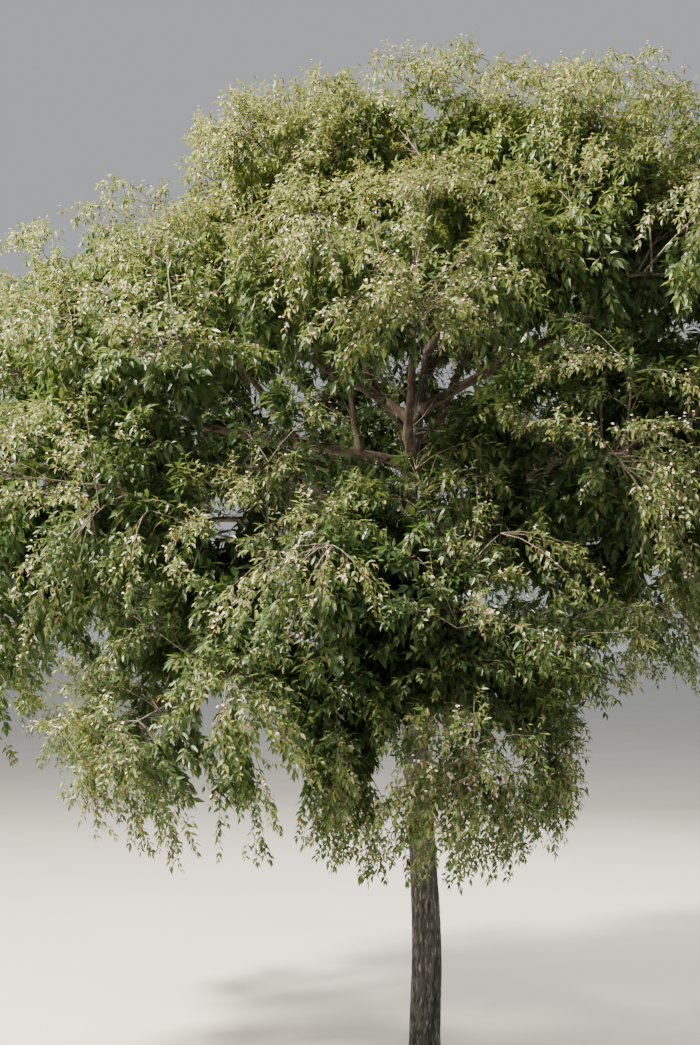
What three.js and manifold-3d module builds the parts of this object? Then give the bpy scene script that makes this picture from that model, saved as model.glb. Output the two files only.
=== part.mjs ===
// Rose myrtle grown as a small tree: one trunk, arching boughs and a broad dome of drooping foliage.
// Millimetres, +Z up. The origin is the middle of the flat cut under the trunk, at ground level.
// Bearings are degrees round the trunk seen from above: 0 to the right, 90 to the back, 270 to the front.

import * as THREE from "three";
import { mergeVertices } from "three/addons/utils/BufferGeometryUtils.js";
import Module from "manifold-3d";

const wasm = await Module();
wasm.setup();

// Trunk: its girth and lean at the heights where they change, from the root flare to the tip of the leader.
const TRUNK_STATIONS = [
  { height: 0, right: 0, away: 0, diameter: 262 },
  { height: 90, right: 0, away: 0, diameter: 222 },
  { height: 260, right: 0, away: 0, diameter: 196 },
  { height: 800, right: 14, away: 8, diameter: 184 },
  { height: 1350, right: -8, away: 16, diameter: 168 },
  { height: 2050, right: -50, away: 24, diameter: 154 },
  { height: 2700, right: -104, away: 24, diameter: 136 },
  { height: 3300, right: -92, away: 14, diameter: 120 },
  { height: 3800, right: -70, away: 4, diameter: 104 },
  { height: 4250, right: 0, away: 0, diameter: 62 },
  { height: 4500, right: 32, away: 0, diameter: 50 },
  { height: 4750, right: 44, away: 0, diameter: 42 },
];
const TRUNK_SIDES = 12;
const TRUNK_STEPS = 19;
const FLARE = { height: 420, lobes: 4, depth: 0.13, turn: 0.7 };

// Boughs: girth where each leaves the trunk or its parent, and at its tip, where the foliage begins.
const MAIN_BOUGH = { base: 78, tip: 40, sides: 6, steps: 6 };
const SIDE_BOUGH = { base: 48, tip: 28, sides: 5, steps: 4 };
const FORK_SHARE = 0.86;
const BOUGH_LIFT = 0.16;
const ENTRY = 0.86;
const LAST_STRETCH = 0.72;

// Foliage: every mass is a flattened dome whose rim droops. turn (its bearing), reach (its distance from the
// trunk's foot, seen from above) and up (its height) place its middle; wide and tall are its half sizes. Its
// bough leaves the trunk at the height from, or leaves the bough on, at a share of that bough's length. lift
// is how far a bough arches, as a share of its own length. The top mass stands onward from the trunk's tip.
const MASSES = {
  front: { turn: 272, reach: 1850, up: 2900, wide: 1020, tall: 600, from: 2330 },
  front_left: { turn: 246, reach: 2080, up: 3020, wide: 1100, tall: 640, from: 2640 },
  left_front: { turn: 216, reach: 2200, up: 3440, wide: 1080, tall: 700, from: 3080 },
  right_front: { turn: 303, reach: 1800, up: 3640, wide: 1060, tall: 640, from: 2880 },
  right: { turn: 352, reach: 2250, up: 4080, wide: 1200, tall: 700, from: 3230 },
  back_right: { turn: 38, reach: 2250, up: 3950, wide: 1240, tall: 720, from: 2760 },
  back: { turn: 90, reach: 2200, up: 3980, wide: 1240, tall: 800, from: 2500 },
  back_left: { turn: 140, reach: 2250, up: 3850, wide: 1240, tall: 720, from: 3170 },
  left: { turn: 183, reach: 2430, up: 4120, wide: 1120, tall: 660, from: 3760, lift: 0.02 },
  upper_left: { turn: 172, reach: 2200, up: 4750, wide: 1160, tall: 580, from: 4030 },
  upper_back_right: { turn: 62, reach: 1750, up: 5100, wide: 1180, tall: 700, from: 3640 },
  upper_back_left: { turn: 124, reach: 1660, up: 4970, wide: 1240, tall: 700, from: 3900 },
  upper_front: { turn: 266, reach: 1500, up: 4600, wide: 1080, tall: 620, from: 3460 },
  upper_right: { turn: 6, reach: 2300, up: 5230, wide: 1160, tall: 680, from: 4100, lift: 0.05 },
  top_far_right: { turn: 30, reach: 1680, up: 5910, wide: 1040, tall: 600, from: 4300 },
  top_right: { turn: 328, reach: 1120, up: 5440, wide: 1020, tall: 600, from: 4470 },
  top_back: { turn: 104, reach: 900, up: 5780, wide: 1060, tall: 600, from: 4620 },
  skirt_front: { turn: 267, reach: 1950, up: 2280, wide: 820, tall: 580, on: "front", at: 0.62 },
  skirt_front_left: { turn: 241, reach: 2150, up: 2410, wide: 900, tall: 660, on: "front_left", at: 0.6 },
  skirt_left: { turn: 193, reach: 2400, up: 2900, wide: 1020, tall: 660, on: "left_front", at: 0.5 },
  skirt_right_front: { turn: 318, reach: 1600, up: 3240, wide: 900, tall: 560, on: "right_front", at: 0.42 },
  skirt_right: { turn: 350, reach: 2150, up: 3380, wide: 1080, tall: 600, on: "right", at: 0.5 },
  skirt_back_right: { turn: 40, reach: 2200, up: 3280, wide: 1160, tall: 660, on: "back_right", at: 0.5 },
  skirt_back: { turn: 88, reach: 2200, up: 2620, wide: 1160, tall: 680, on: "back", at: 0.5 },
  skirt_back_left: { turn: 142, reach: 2260, up: 2700, wide: 1180, tall: 680, on: "back_left", at: 0.5 },
  upper_left_front: { turn: 220, reach: 1880, up: 4320, wide: 1160, tall: 680, on: "left", at: 0.45 },
  shoulder: { turn: 205, reach: 860, up: 5460, wide: 690, tall: 640, on: "left", at: 0.2 },
  upper_right_front: { turn: 316, reach: 1700, up: 4700, wide: 1140, tall: 700, on: "upper_right", at: 0.28 },
  top: { onward: 980, wide: 1040, tall: 600 },
};
const CROWN_HEART = new THREE.Vector3(150, 0, 3300);
const FULLNESS = 3;
const ROOM = 14;

// Twigs and leaves: each leaf stands for a whole spray, so it is larger than life. A twig is a three-sided
// point with a whorl of three leaves, one from each side, the first of them pointing down the dome.
const TWIG_COUNT = 6;
const TWIG_CAP = THREE.MathUtils.degToRad(98);
const TWIG = { root: 0.16, tip: 0.8, girth: 120, jitter: 0.25 };
const LEAF = { length: 720, width: 0.46, thick: 0.034, widest: 0.42, sunk: 5, droop: 0.22 };
const LEAF_SIZES = [1, 0.82, 0.66, 0.5];
const LEAVES = [
  { at: 0.86, splay: 66 },
  { at: 0.8, splay: 72 },
  { at: 0.74, splay: 78 },
];
const CORE = { wide: 0.72, tall: 0.3, rough: 0.1, dip: 0.24, detail: 1 };

// Fits: the slit between pieces that touch, and how far foliage stays from any limb.
const SLIT = 0.3;
const LIMB_ROOM = 12;
const LIMB_PIECES = 14;
const HALVINGS = 28;
const FARTHEST = 4000;
const FIRST_SEED = 101;

const bark = new THREE.MeshStandardMaterial({ color: 0x8a7d6c, roughness: 0.92, metalness: 0 });
const limbBark = new THREE.MeshStandardMaterial({ color: 0x75604c, roughness: 0.88, metalness: 0 });
const leafGreen = new THREE.MeshStandardMaterial({ color: 0x7d8a45, roughness: 0.55, metalness: 0 });

const UP = new THREE.Vector3(0, 0, 1);

// A small repeatable source of numbers from 0 to 1.
function seeded(seed) {
  let state = seed >>> 0;
  return function next() {
    state = (state + 0x6d2b79f5) >>> 0;
    let mixed = Math.imul(state ^ (state >>> 15), 1 | state);
    mixed = (mixed + Math.imul(mixed ^ (mixed >>> 7), 61 | mixed)) ^ mixed;
    return ((mixed ^ (mixed >>> 14)) >>> 0) / 4294967296;
  };
}

// Turns a closed three.js geometry into a solid that can be joined and cut.
function solidOf(geometry) {
  const bare = geometry.index ? geometry.toNonIndexed() : geometry.clone();
  bare.deleteAttribute("normal");
  bare.deleteAttribute("uv");
  const welded = mergeVertices(bare, 1e-3);
  const numbers = new Float32Array(welded.attributes.position.array);
  const triangles = [];
  const index = welded.index.array;
  for (let i = 0; i < index.length; i += 3) {
    const [a, b, c] = [index[i], index[i + 1], index[i + 2]];
    if (a !== b && b !== c && c !== a) triangles.push(a, b, c);
  }
  return new wasm.Manifold(
    new wasm.Mesh({ numProp: 3, vertProperties: numbers, triVerts: new Uint32Array(triangles) }),
  );
}

// Keeps the one largest body of a solid, without any sealed hollow or loose scrap.
function largestBody(solid) {
  const bodies = solid.decompose();
  return bodies.reduce((best, body) => (body.volume() > best.volume() ? body : best), bodies[0]);
}

function meshOf(name, solid, material) {
  const { vertProperties, triVerts } = solid.getMesh();
  const geometry = new THREE.BufferGeometry();
  geometry.setAttribute("position", new THREE.BufferAttribute(new Float32Array(vertProperties), 3));
  geometry.setIndex(new THREE.BufferAttribute(new Uint32Array(triVerts), 1));
  geometry.computeVertexNormals();
  const mesh = new THREE.Mesh(geometry, material);
  mesh.name = name;
  return mesh;
}

// A round bar bent along a curve: radiusAt(share of length, angle) gives its surface.
function bentBar(curve, radiusAt, sides, steps) {
  const geometry = new THREE.CylinderGeometry(1, 1, 1, sides, steps);
  const frames = curve.computeFrenetFrames(steps, false);
  const place = geometry.attributes.position;
  const at = new THREE.Vector3();
  for (let i = 0; i < place.count; i++) {
    at.fromBufferAttribute(place, i);
    const share = Math.min(1, Math.max(0, at.y + 0.5));
    const step = Math.round(share * steps);
    const offCentre = Math.hypot(at.x, at.z);
    const radius = offCentre * radiusAt(share, Math.atan2(at.z, at.x));
    const middle = curve.getPointAt(share);
    if (offCentre > 0) {
      middle.addScaledVector(frames.binormals[step], (radius * at.x) / offCentre);
      middle.addScaledVector(frames.normals[step], (radius * at.z) / offCentre);
    }
    place.setXYZ(i, middle.x, middle.y, middle.z);
  }
  return geometry;
}

// Samples a limb as short straight pieces with a radius, for clearance tests.
function limbPieces(limb) {
  const points = limb.curve.getSpacedPoints(LIMB_PIECES);
  return points.slice(1).map((end, i) => {
    return { start: points[i], end, radius: limb.radiusAt(i / LIMB_PIECES, 0) };
  });
}

// The shortest distance between two straight pieces.
function gapBetween(startA, endA, startB, endB) {
  const a = endA.clone().sub(startA);
  const b = endB.clone().sub(startB);
  const between = startA.clone().sub(startB);
  const aa = a.dot(a);
  const bb = b.dot(b);
  const ab = a.dot(b);
  const ac = a.dot(between);
  const bc = b.dot(between);
  const spread = aa * bb - ab * ab;
  let alongA = spread > 1e-9 ? THREE.MathUtils.clamp((ab * bc - ac * bb) / spread, 0, 1) : 0;
  const alongB = bb > 0 ? THREE.MathUtils.clamp((ab * alongA + bc) / bb, 0, 1) : 0;
  alongA = aa > 0 ? THREE.MathUtils.clamp((ab * alongB - ac) / aa, 0, 1) : 0;
  const nearA = startA.clone().addScaledVector(a, alongA);
  const nearB = startB.clone().addScaledVector(b, alongB);
  return nearA.distanceTo(nearB);
}

// Trunk

function trunkLimb() {
  const points = TRUNK_STATIONS.map((at) => new THREE.Vector3(at.right, at.away, at.height));
  const curve = new THREE.CatmullRomCurve3(points, false, "centripetal");
  const diameterAt = (height) => {
    const above = TRUNK_STATIONS.findIndex((at) => at.height > height);
    if (above < 0) return TRUNK_STATIONS.at(-1).diameter;
    const [low, high] = [TRUNK_STATIONS[above - 1], TRUNK_STATIONS[above]];
    const share = (height - low.height) / (high.height - low.height);
    return THREE.MathUtils.lerp(low.diameter, high.diameter, share);
  };
  const radiusAt = (share, angle) => {
    const height = Math.max(0, curve.getPointAt(share).z);
    const flare = Math.max(0, 1 - height / FLARE.height) ** 2;
    const lobe = 1 + FLARE.depth * flare * Math.cos(FLARE.lobes * (angle + FLARE.turn));
    return (diameterAt(height) / 2) * lobe;
  };
  return { name: "trunk", curve, radiusAt, sides: TRUNK_SIDES, steps: TRUNK_STEPS };
}

// The share of the trunk's length at which it reaches a height.
function trunkShareAt(trunk, height) {
  let low = 0;
  let high = 1;
  for (let i = 0; i < HALVINGS; i++) {
    const middle = (low + high) / 2;
    if (trunk.curve.getPointAt(middle).z < height) low = middle;
    else high = middle;
  }
  return low;
}

function limbSolid(limb, swollenBy = 0) {
  const swollen = (share, angle) => limb.radiusAt(share, angle) + swollenBy;
  return solidOf(bentBar(limb.curve, swollen, limb.sides, limb.steps));
}

// Foliage spaces

function layOutMasses(trunk) {
  const masses = Object.entries(MASSES).map(([name, sizes]) => ({ name, ...sizes, walls: [] }));
  for (const mass of masses) {
    if (mass.onward) {
      mass.middle = trunk.curve.getPointAt(1).addScaledVector(trunk.curve.getTangentAt(1), mass.onward);
    } else {
      const bearing = THREE.MathUtils.degToRad(mass.turn);
      mass.middle = new THREE.Vector3(mass.reach, 0, mass.up).applyAxisAngle(UP, bearing);
    }
    mass.rise = mass.middle.clone().sub(CROWN_HEART).normalize().add(UP).normalize();
    mass.across = new THREE.Vector3().crossVectors(UP, mass.rise).normalize();
    mass.out = new THREE.Vector3().crossVectors(mass.across, mass.rise);
  }
  for (const one of masses) {
    for (const other of masses) {
      if (one !== other) addWall(one, other);
    }
  }
  return masses;
}

// How far a mass's rounded outline stands out along a direction.
function standOut(mass, direction) {
  const power = FULLNESS / (FULLNESS - 1);
  const sum =
    Math.abs(mass.wide * direction.dot(mass.out)) ** power +
    Math.abs(mass.wide * direction.dot(mass.across)) ** power +
    Math.abs(mass.tall * direction.dot(mass.rise)) ** power;
  return sum ** (1 / power);
}

// Two masses that would meet are parted by a flat wall between them.
function addWall(one, other) {
  const apart = other.middle.clone().sub(one.middle);
  const distance = apart.length();
  const direction = apart.divideScalar(distance);
  const mine = standOut(one, direction);
  const theirs = standOut(other, direction);
  if (distance > mine + theirs + ROOM) return;
  const place = one.middle.clone().addScaledVector(direction, (distance * mine) / (mine + theirs) - ROOM / 2);
  one.walls.push(new THREE.Plane().setFromNormalAndCoplanarPoint(direction, place));
}

// True where a point is inside a mass's rounded outline and on its own side of every wall.
function holds(mass, point) {
  const offset = point.clone().sub(mass.middle);
  const sum =
    Math.abs(offset.dot(mass.out) / mass.wide) ** FULLNESS +
    Math.abs(offset.dot(mass.across) / mass.wide) ** FULLNESS +
    Math.abs(offset.dot(mass.rise) / mass.tall) ** FULLNESS;
  return sum <= 1 && mass.walls.every((wall) => wall.distanceToPoint(point) <= 0);
}

// How far one can go from a point inside the space before leaving it.
function reachAlong(mass, start, direction) {
  let inside = 0;
  let outside = FARTHEST;
  for (let i = 0; i < HALVINGS; i++) {
    const middle = (inside + outside) / 2;
    if (holds(mass, start.clone().addScaledVector(direction, middle))) inside = middle;
    else outside = middle;
  }
  return inside;
}

// Boughs

function boughLimb(mass, boughs, trunk) {
  const size = mass.on ? SIDE_BOUGH : MAIN_BOUGH;
  const parent = mass.on ? boughs.get(mass.on) : trunk;
  const share = mass.on ? mass.at : trunkShareAt(trunk, mass.from);
  const start = parent.curve.getPointAt(share);
  const base = Math.min(size.base / 2, parent.radiusAt(share, 0) * FORK_SHARE);
  const lift = (mass.lift ?? BOUGH_LIFT) * start.distanceTo(mass.middle);
  const middle = start.clone().lerp(mass.middle, 0.5).addScaledVector(UP, lift);
  const arrival = middle.clone().sub(mass.middle).normalize();
  const entry = Math.min(
    reachAlong(mass, mass.middle, arrival) * ENTRY,
    middle.distanceTo(mass.middle) * LAST_STRETCH,
  );
  const tip = mass.middle.clone().addScaledVector(arrival, entry);
  const curve = new THREE.QuadraticBezierCurve3(start, middle, tip);
  const radiusAt = (along) => THREE.MathUtils.lerp(base, size.tip / 2, Math.min(1, Math.max(0, along)));
  return { name: mass.name, curve, radiusAt, sides: size.sides, steps: size.steps, parent };
}

function cutFromParent(limb) {
  const parent = limbSolid(limb.parent, SLIT * 1.2);
  return largestBody(limbSolid(limb).subtract(parent));
}

// Foliage

// A leaf of eight faces, pointed at both ends, from its root along its midrib.
function leafShape(root, along, face, length) {
  const geometry = new THREE.OctahedronGeometry(1);
  const place = geometry.attributes.position;
  for (let i = 0; i < place.count; i++) {
    const y = place.getY(i);
    place.setY(i, Math.abs(y) < 0.5 ? LEAF.widest : Math.max(0, y));
  }
  const across = new THREE.Vector3().crossVectors(along, face).normalize();
  const normal = new THREE.Vector3().crossVectors(across, along).normalize();
  const frame = new THREE.Matrix4().makeBasis(
    across.multiplyScalar((length * LEAF.width) / 2),
    along.clone().multiplyScalar(length),
    normal.multiplyScalar((length * LEAF.thick) / 2),
  );
  return geometry.applyMatrix4(frame.setPosition(root));
}

// True where every corner of a shape is inside the mass's own space.
function staysInside(mass, geometry) {
  const place = geometry.attributes.position;
  const at = new THREE.Vector3();
  for (let i = 0; i < place.count; i++) {
    if (!holds(mass, at.fromBufferAttribute(place, i))) return false;
  }
  return true;
}

// True where a straight piece stays clear of every limb.
function clearOfLimbs(start, end, radius, limbs) {
  return limbs.every((limb) =>
    limb.pieces.every((piece) => {
      const gap = gapBetween(start, end, piece.start, piece.end);
      return gap > radius + piece.radius + LIMB_ROOM;
    }),
  );
}

// A leaf at the largest size that stays in the space and off the limbs, or none.
function fittedLeaf(mass, from, along, face, limbs) {
  const root = from.clone().addScaledVector(along, -LEAF.sunk);
  for (const size of LEAF_SIZES) {
    const length = LEAF.length * size;
    const shape = leafShape(root, along, face, length);
    const end = root.clone().addScaledVector(along, length);
    const clear = clearOfLimbs(root, end, (length * LEAF.width) / 2, limbs);
    if (clear && staysInside(mass, shape)) return shape;
  }
  return null;
}

// Directions spread evenly over the upper side and the rim of a mass.
function twigDirections(mass, random) {
  const pole = new THREE.Quaternion().setFromUnitVectors(UP, mass.rise);
  const golden = Math.PI * (3 - Math.sqrt(5));
  const turn = random() * 2 * Math.PI;
  const directions = [];
  for (let i = 0; i < TWIG_COUNT; i++) {
    const height = 1 - ((i + 0.5) / TWIG_COUNT) * (1 - Math.cos(TWIG_CAP));
    const level = Math.sqrt(1 - height * height);
    const angle = turn + golden * i + (random() - 0.5) * 2 * TWIG.jitter;
    const direction = new THREE.Vector3(level * Math.cos(angle), level * Math.sin(angle), height);
    directions.push(direction.applyQuaternion(pole));
  }
  return directions;
}

// A tapering twig with three flat sides, the first of them facing a given way.
function twigShape(root, direction, length, faces) {
  const geometry = new THREE.ConeGeometry(TWIG.girth / 2, length, faces.length, 1);
  geometry.rotateY(Math.PI / faces.length);
  const frame = new THREE.Matrix4().makeBasis(
    new THREE.Vector3().crossVectors(direction, faces[0]).normalize(),
    direction.clone(),
    faces[0].clone(),
  );
  const middle = root.clone().addScaledVector(direction, length / 2);
  return geometry.applyMatrix4(frame.setPosition(middle));
}

// The three ways that a twig's sides face, the first of them down the dome.
function sideFacings(mass, direction, turn) {
  const first = direction.clone().multiplyScalar(direction.dot(mass.rise)).sub(mass.rise).normalize();
  const step = (2 * Math.PI) / LEAVES.length;
  return LEAVES.map((leaf, i) => first.clone().applyAxisAngle(direction, turn + i * step));
}

// The smaller heart of a mass: a lumpy domed pad, kept clear of its walls and of the limbs that pass it.
function coreShape(mass, hub, limbs, random) {
  const geometry = new THREE.IcosahedronGeometry(1, CORE.detail);
  geometry.deleteAttribute("normal");
  geometry.deleteAttribute("uv");
  const welded = mergeVertices(geometry, 1e-3);
  const walls = limbWalls(hub, limbs);
  const place = welded.attributes.position;
  for (let i = 0; i < place.count; i++) {
    const lump = 1 - CORE.rough * random();
    const [out, across, rise] = [place.getX(i) * lump, place.getY(i) * lump, place.getZ(i) * lump];
    const dip = CORE.dip * (out * out + across * across) * mass.wide;
    const offset = mass.out.clone().multiplyScalar(out * CORE.wide * mass.wide);
    offset.addScaledVector(mass.across, across * CORE.wide * mass.wide);
    offset.addScaledVector(mass.rise, rise * CORE.tall * mass.tall - dip);
    const wanted = offset.length();
    const direction = offset.divideScalar(wanted);
    let reach = Math.min(wanted, reachAlong(mass, hub, direction) - ROOM);
    for (const wall of walls) {
      const facing = wall.normal.dot(direction);
      if (facing > 0) reach = Math.min(reach, -wall.distanceToPoint(hub) / facing);
    }
    direction.multiplyScalar(reach).add(hub);
    place.setXYZ(i, direction.x, direction.y, direction.z);
  }
  return welded;
}

// Flat walls that keep a core off the limbs that run past it.
function limbWalls(hub, limbs) {
  const pieces = limbs.flatMap((limb) => limb.pieces);
  return pieces.map((piece) => {
    const near = new THREE.Line3(piece.start, piece.end).closestPointToPoint(hub, true, new THREE.Vector3());
    const direction = near.clone().sub(hub).normalize();
    near.addScaledVector(direction, -(piece.radius + LIMB_ROOM));
    return new THREE.Plane().setFromNormalAndCoplanarPoint(direction, near);
  });
}

// The stem goes straight on from its bough's tip, a slit away, into the middle of the mass.
function stemShape(carrier, hub) {
  const start = carrier.curve.getPointAt(1).addScaledVector(carrier.curve.getTangentAt(1), SLIT);
  const radiusAt = (along) => carrier.radiusAt(1, 0) * THREE.MathUtils.lerp(1, 0.6, along);
  return bentBar(new THREE.LineCurve3(start, hub), radiusAt, carrier.sides, 1);
}

// One twig and the leaves on it that find room, or nothing where there is none.
function sprayShapes(mass, hub, direction, limbs, random) {
  const reach = reachAlong(mass, hub, direction);
  const root = hub.clone().addScaledVector(direction, reach * TWIG.root);
  const length = reach * (TWIG.tip - TWIG.root);
  const faces = sideFacings(mass, direction, (random() - 0.5) * TWIG.jitter);
  const facing = direction.clone().addScaledVector(mass.rise, random()).normalize();
  const leaves = [];
  LEAVES.forEach((leaf, i) => {
    const splay = THREE.MathUtils.degToRad(leaf.splay);
    const along = direction.clone().multiplyScalar(Math.cos(splay));
    along.addScaledVector(faces[i], Math.sin(splay)).addScaledVector(UP, -LEAF.droop).normalize();
    const from = root.clone().addScaledVector(direction, length * leaf.at);
    const shape = fittedLeaf(mass, from, along, facing, limbs);
    if (shape) leaves.push(shape);
  });
  const tip = root.clone().addScaledVector(direction, length);
  if (!leaves.length || !clearOfLimbs(root, tip, TWIG.girth / 2, limbs)) return [];
  return [twigShape(root, direction, length, faces), ...leaves];
}

function foliageSolid(mass, carrier, limbs, seed) {
  const random = seeded(seed);
  const hub = mass.middle;
  let solid = solidOf(stemShape(carrier, hub)).add(solidOf(coreShape(mass, hub, limbs, random)));
  for (const direction of twigDirections(mass, random)) {
    for (const shape of sprayShapes(mass, hub, direction, limbs, random)) solid = solid.add(solidOf(shape));
  }
  return largestBody(solid);
}

// The whole plant

function buildTree() {
  const tree = new THREE.Group();
  const trunk = trunkLimb();
  const masses = layOutMasses(trunk);
  const boughs = new Map();
  for (const mass of masses) {
    if (!mass.onward) boughs.set(mass.name, boughLimb(mass, boughs, trunk));
  }
  const limbs = [trunk, ...boughs.values()];
  for (const limb of limbs) limb.pieces = limbPieces(limb);

  tree.add(meshOf("trunk", limbSolid(trunk), bark));
  for (const bough of boughs.values()) {
    tree.add(meshOf(`bough_${bough.name}`, cutFromParent(bough), limbBark));
  }
  masses.forEach((mass, index) => {
    const carrier = boughs.get(mass.name) ?? trunk;
    const solid = foliageSolid(mass, carrier, limbs, FIRST_SEED + index);
    tree.add(meshOf(`foliage_${mass.name}`, solid, leafGreen));
  });
  return tree;
}

export default buildTree();
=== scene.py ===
"""Rose myrtle grown as a small tree: fissured bark, arching boughs and a broad dome of drooping leaves.

Metres, +Z up. The origin is the middle of the flat cut under the trunk, at ground level. Bearings are
degrees round the trunk seen from above: 0 to the right, 90 to the back, 270 to the front.
"""

import logging
import math
from dataclasses import dataclass, field, fields, replace
from enum import Enum
from itertools import permutations

import bpy
import numpy as np
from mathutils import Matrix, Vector


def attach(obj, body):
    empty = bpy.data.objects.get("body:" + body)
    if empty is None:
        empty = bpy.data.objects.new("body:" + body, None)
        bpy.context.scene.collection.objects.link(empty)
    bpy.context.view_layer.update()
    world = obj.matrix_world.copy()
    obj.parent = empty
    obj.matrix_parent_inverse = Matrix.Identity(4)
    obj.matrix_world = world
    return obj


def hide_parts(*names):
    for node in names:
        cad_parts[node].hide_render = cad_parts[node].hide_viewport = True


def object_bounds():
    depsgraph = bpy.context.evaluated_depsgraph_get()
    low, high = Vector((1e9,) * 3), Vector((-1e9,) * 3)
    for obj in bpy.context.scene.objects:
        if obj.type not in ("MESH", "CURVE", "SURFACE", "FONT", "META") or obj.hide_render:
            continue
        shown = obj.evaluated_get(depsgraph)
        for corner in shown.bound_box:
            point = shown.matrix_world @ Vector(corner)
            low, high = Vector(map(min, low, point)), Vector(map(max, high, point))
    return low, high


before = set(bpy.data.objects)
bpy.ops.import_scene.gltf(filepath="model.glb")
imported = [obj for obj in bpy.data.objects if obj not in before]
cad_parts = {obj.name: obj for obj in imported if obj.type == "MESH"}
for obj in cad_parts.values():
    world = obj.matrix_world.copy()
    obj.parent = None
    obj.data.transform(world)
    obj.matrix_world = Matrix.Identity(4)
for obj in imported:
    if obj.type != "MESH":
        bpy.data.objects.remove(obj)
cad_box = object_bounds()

log = logging.getLogger("rose_myrtle")
Array = np.ndarray

MM = 0.001
UP = np.array([0.0, 0.0, 1.0])
FULL_TURN = 2 * math.pi
GOLDEN_ANGLE = math.pi * (3 - math.sqrt(5))
STEEP = 0.2  # a twig whose level share is less counts as upright
PHOTO_PLACE = (-0.456, -9.5, 2.6)  # where the photograph was taken from


# ---- small tools for shapes


def unit(vectors: Array) -> Array:
    """Scales vectors to a length of one."""
    return vectors / np.maximum(np.linalg.norm(vectors, axis=-1, keepdims=True), 1e-12)


def turned(vectors: Array, axes: Array, angles: Array) -> Array:
    """Turns vectors about unit axes.

    Args:
        vectors: the vectors, one a row.
        axes: the unit axis of each.
        angles: the angle of each, in radians.

    Returns:
        The turned vectors.
    """
    cos = np.cos(angles)[..., None]
    sin = np.sin(angles)[..., None]
    along = np.sum(axes * vectors, axis=-1, keepdims=True)
    return vectors * cos + np.cross(axes, vectors) * sin + axes * along * (1 - cos)


def square_to(vectors: Array, directions: Array) -> Array:
    """The parts of vectors that stand square to unit directions, at a length of one."""
    return unit(vectors - directions * np.sum(vectors * directions, axis=-1, keepdims=True))


def level_beside(directions: Array) -> Array:
    """A level direction beside each of some directions."""
    return unit(np.cross(directions, UP) + 1e-6)


def varied(
    random: np.random.Generator, least: float, spread: float, shape: int | tuple[int, ...]
) -> Array:
    """Chance numbers from a least one up, evenly over a spread.

    Args:
        random: the source of chance.
        least: the lowest that may come.
        spread: how far above it they may lie.
        shape: how many, or the shape of their array.

    Returns:
        The numbers.
    """
    return least + spread * random.random(shape)


def bezier(starts: Array, controls: Array, ends: Array, count: int) -> Array:
    """Samples quadratic curves.

    Args:
        starts: first points, (n, 3).
        controls: the points that the curves bend towards, (n, 3).
        ends: last points, (n, 3).
        count: how many samples each curve gets.

    Returns:
        The samples, (n, count, 3).
    """
    t = np.linspace(0, 1, count)[None, :, None]
    return (1 - t) ** 2 * starts[:, None] + 2 * t * (1 - t) * controls[:, None] + t**2 * ends[:, None]


def wrapped_noise(u: Array, v: Array, columns: int, rows: int, seed: int) -> Array:
    """A smooth random field from 0 to 1 on a limb's skin.

    Args:
        u: place round the limb, from 0 to 1, where it wraps.
        v: place along the limb, from 0 to 1.
        columns: how many cells go round.
        rows: how many cells go along.
        seed: picks the field.

    Returns:
        One number for each place.
    """
    table = np.random.default_rng(seed).random((rows + 2, columns))
    x = u * columns
    y = np.clip(v, 0, 1) * rows
    left = np.floor(x).astype(int)
    low = np.minimum(np.floor(y).astype(int), rows - 1)
    across = x - left
    along = y - low
    across = across * across * (3 - 2 * across)
    along = along * along * (3 - 2 * along)
    left %= columns
    right = (left + 1) % columns
    below = table[low, left] * (1 - across) + table[low, right] * across
    above = table[low + 1, left] * (1 - across) + table[low + 1, right] * across
    return below * (1 - along) + above * along


class SeededNumbers:
    """The same repeatable numbers from 0 to 1 as the solids are grown from."""

    def __init__(self, seed: int) -> None:
        """Starts from a seed."""
        self.state = seed

    def next(self) -> float:
        """The next number.

        Returns:
            The number, from 0 up to 1.
        """
        whole = 0xFFFFFFFF
        self.state = (self.state + 0x6D2B79F5) & whole
        s = self.state
        mixed = ((s ^ (s >> 15)) * (1 | s)) & whole
        mixed = ((mixed + (((mixed ^ (mixed >> 7)) * (61 | mixed)) & whole)) & whole) ^ mixed
        return ((mixed ^ (mixed >> 14)) & whole) / 4294967296


class Course:
    """A smooth line through space, read by the share of its length."""

    def __init__(self, points: Array) -> None:
        """Measures the line.

        Args:
            points: the samples, (n, 3).
        """
        self.points = points
        steps = np.linalg.norm(np.diff(points, axis=0), axis=1)
        reached = np.concatenate([[0.0], np.cumsum(steps)])
        self.length = float(reached[-1])
        self.shares = reached / reached[-1]

    def at(self, share: float | Array) -> Array:
        """The point or points at a share of the length."""
        found = [np.interp(share, self.shares, self.points[:, axis]) for axis in range(3)]
        return np.stack(found, axis=-1)

    def heading(self, share: float | Array) -> Array:
        """The direction of travel at a share of the length.

        Args:
            share: the share or shares of the length.

        Returns:
            A unit direction for each share.
        """
        step = 0.004
        ahead = self.at(np.minimum(1.0, share + step))
        behind = self.at(np.maximum(0.0, share - step))
        return unit(ahead - behind)


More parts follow.
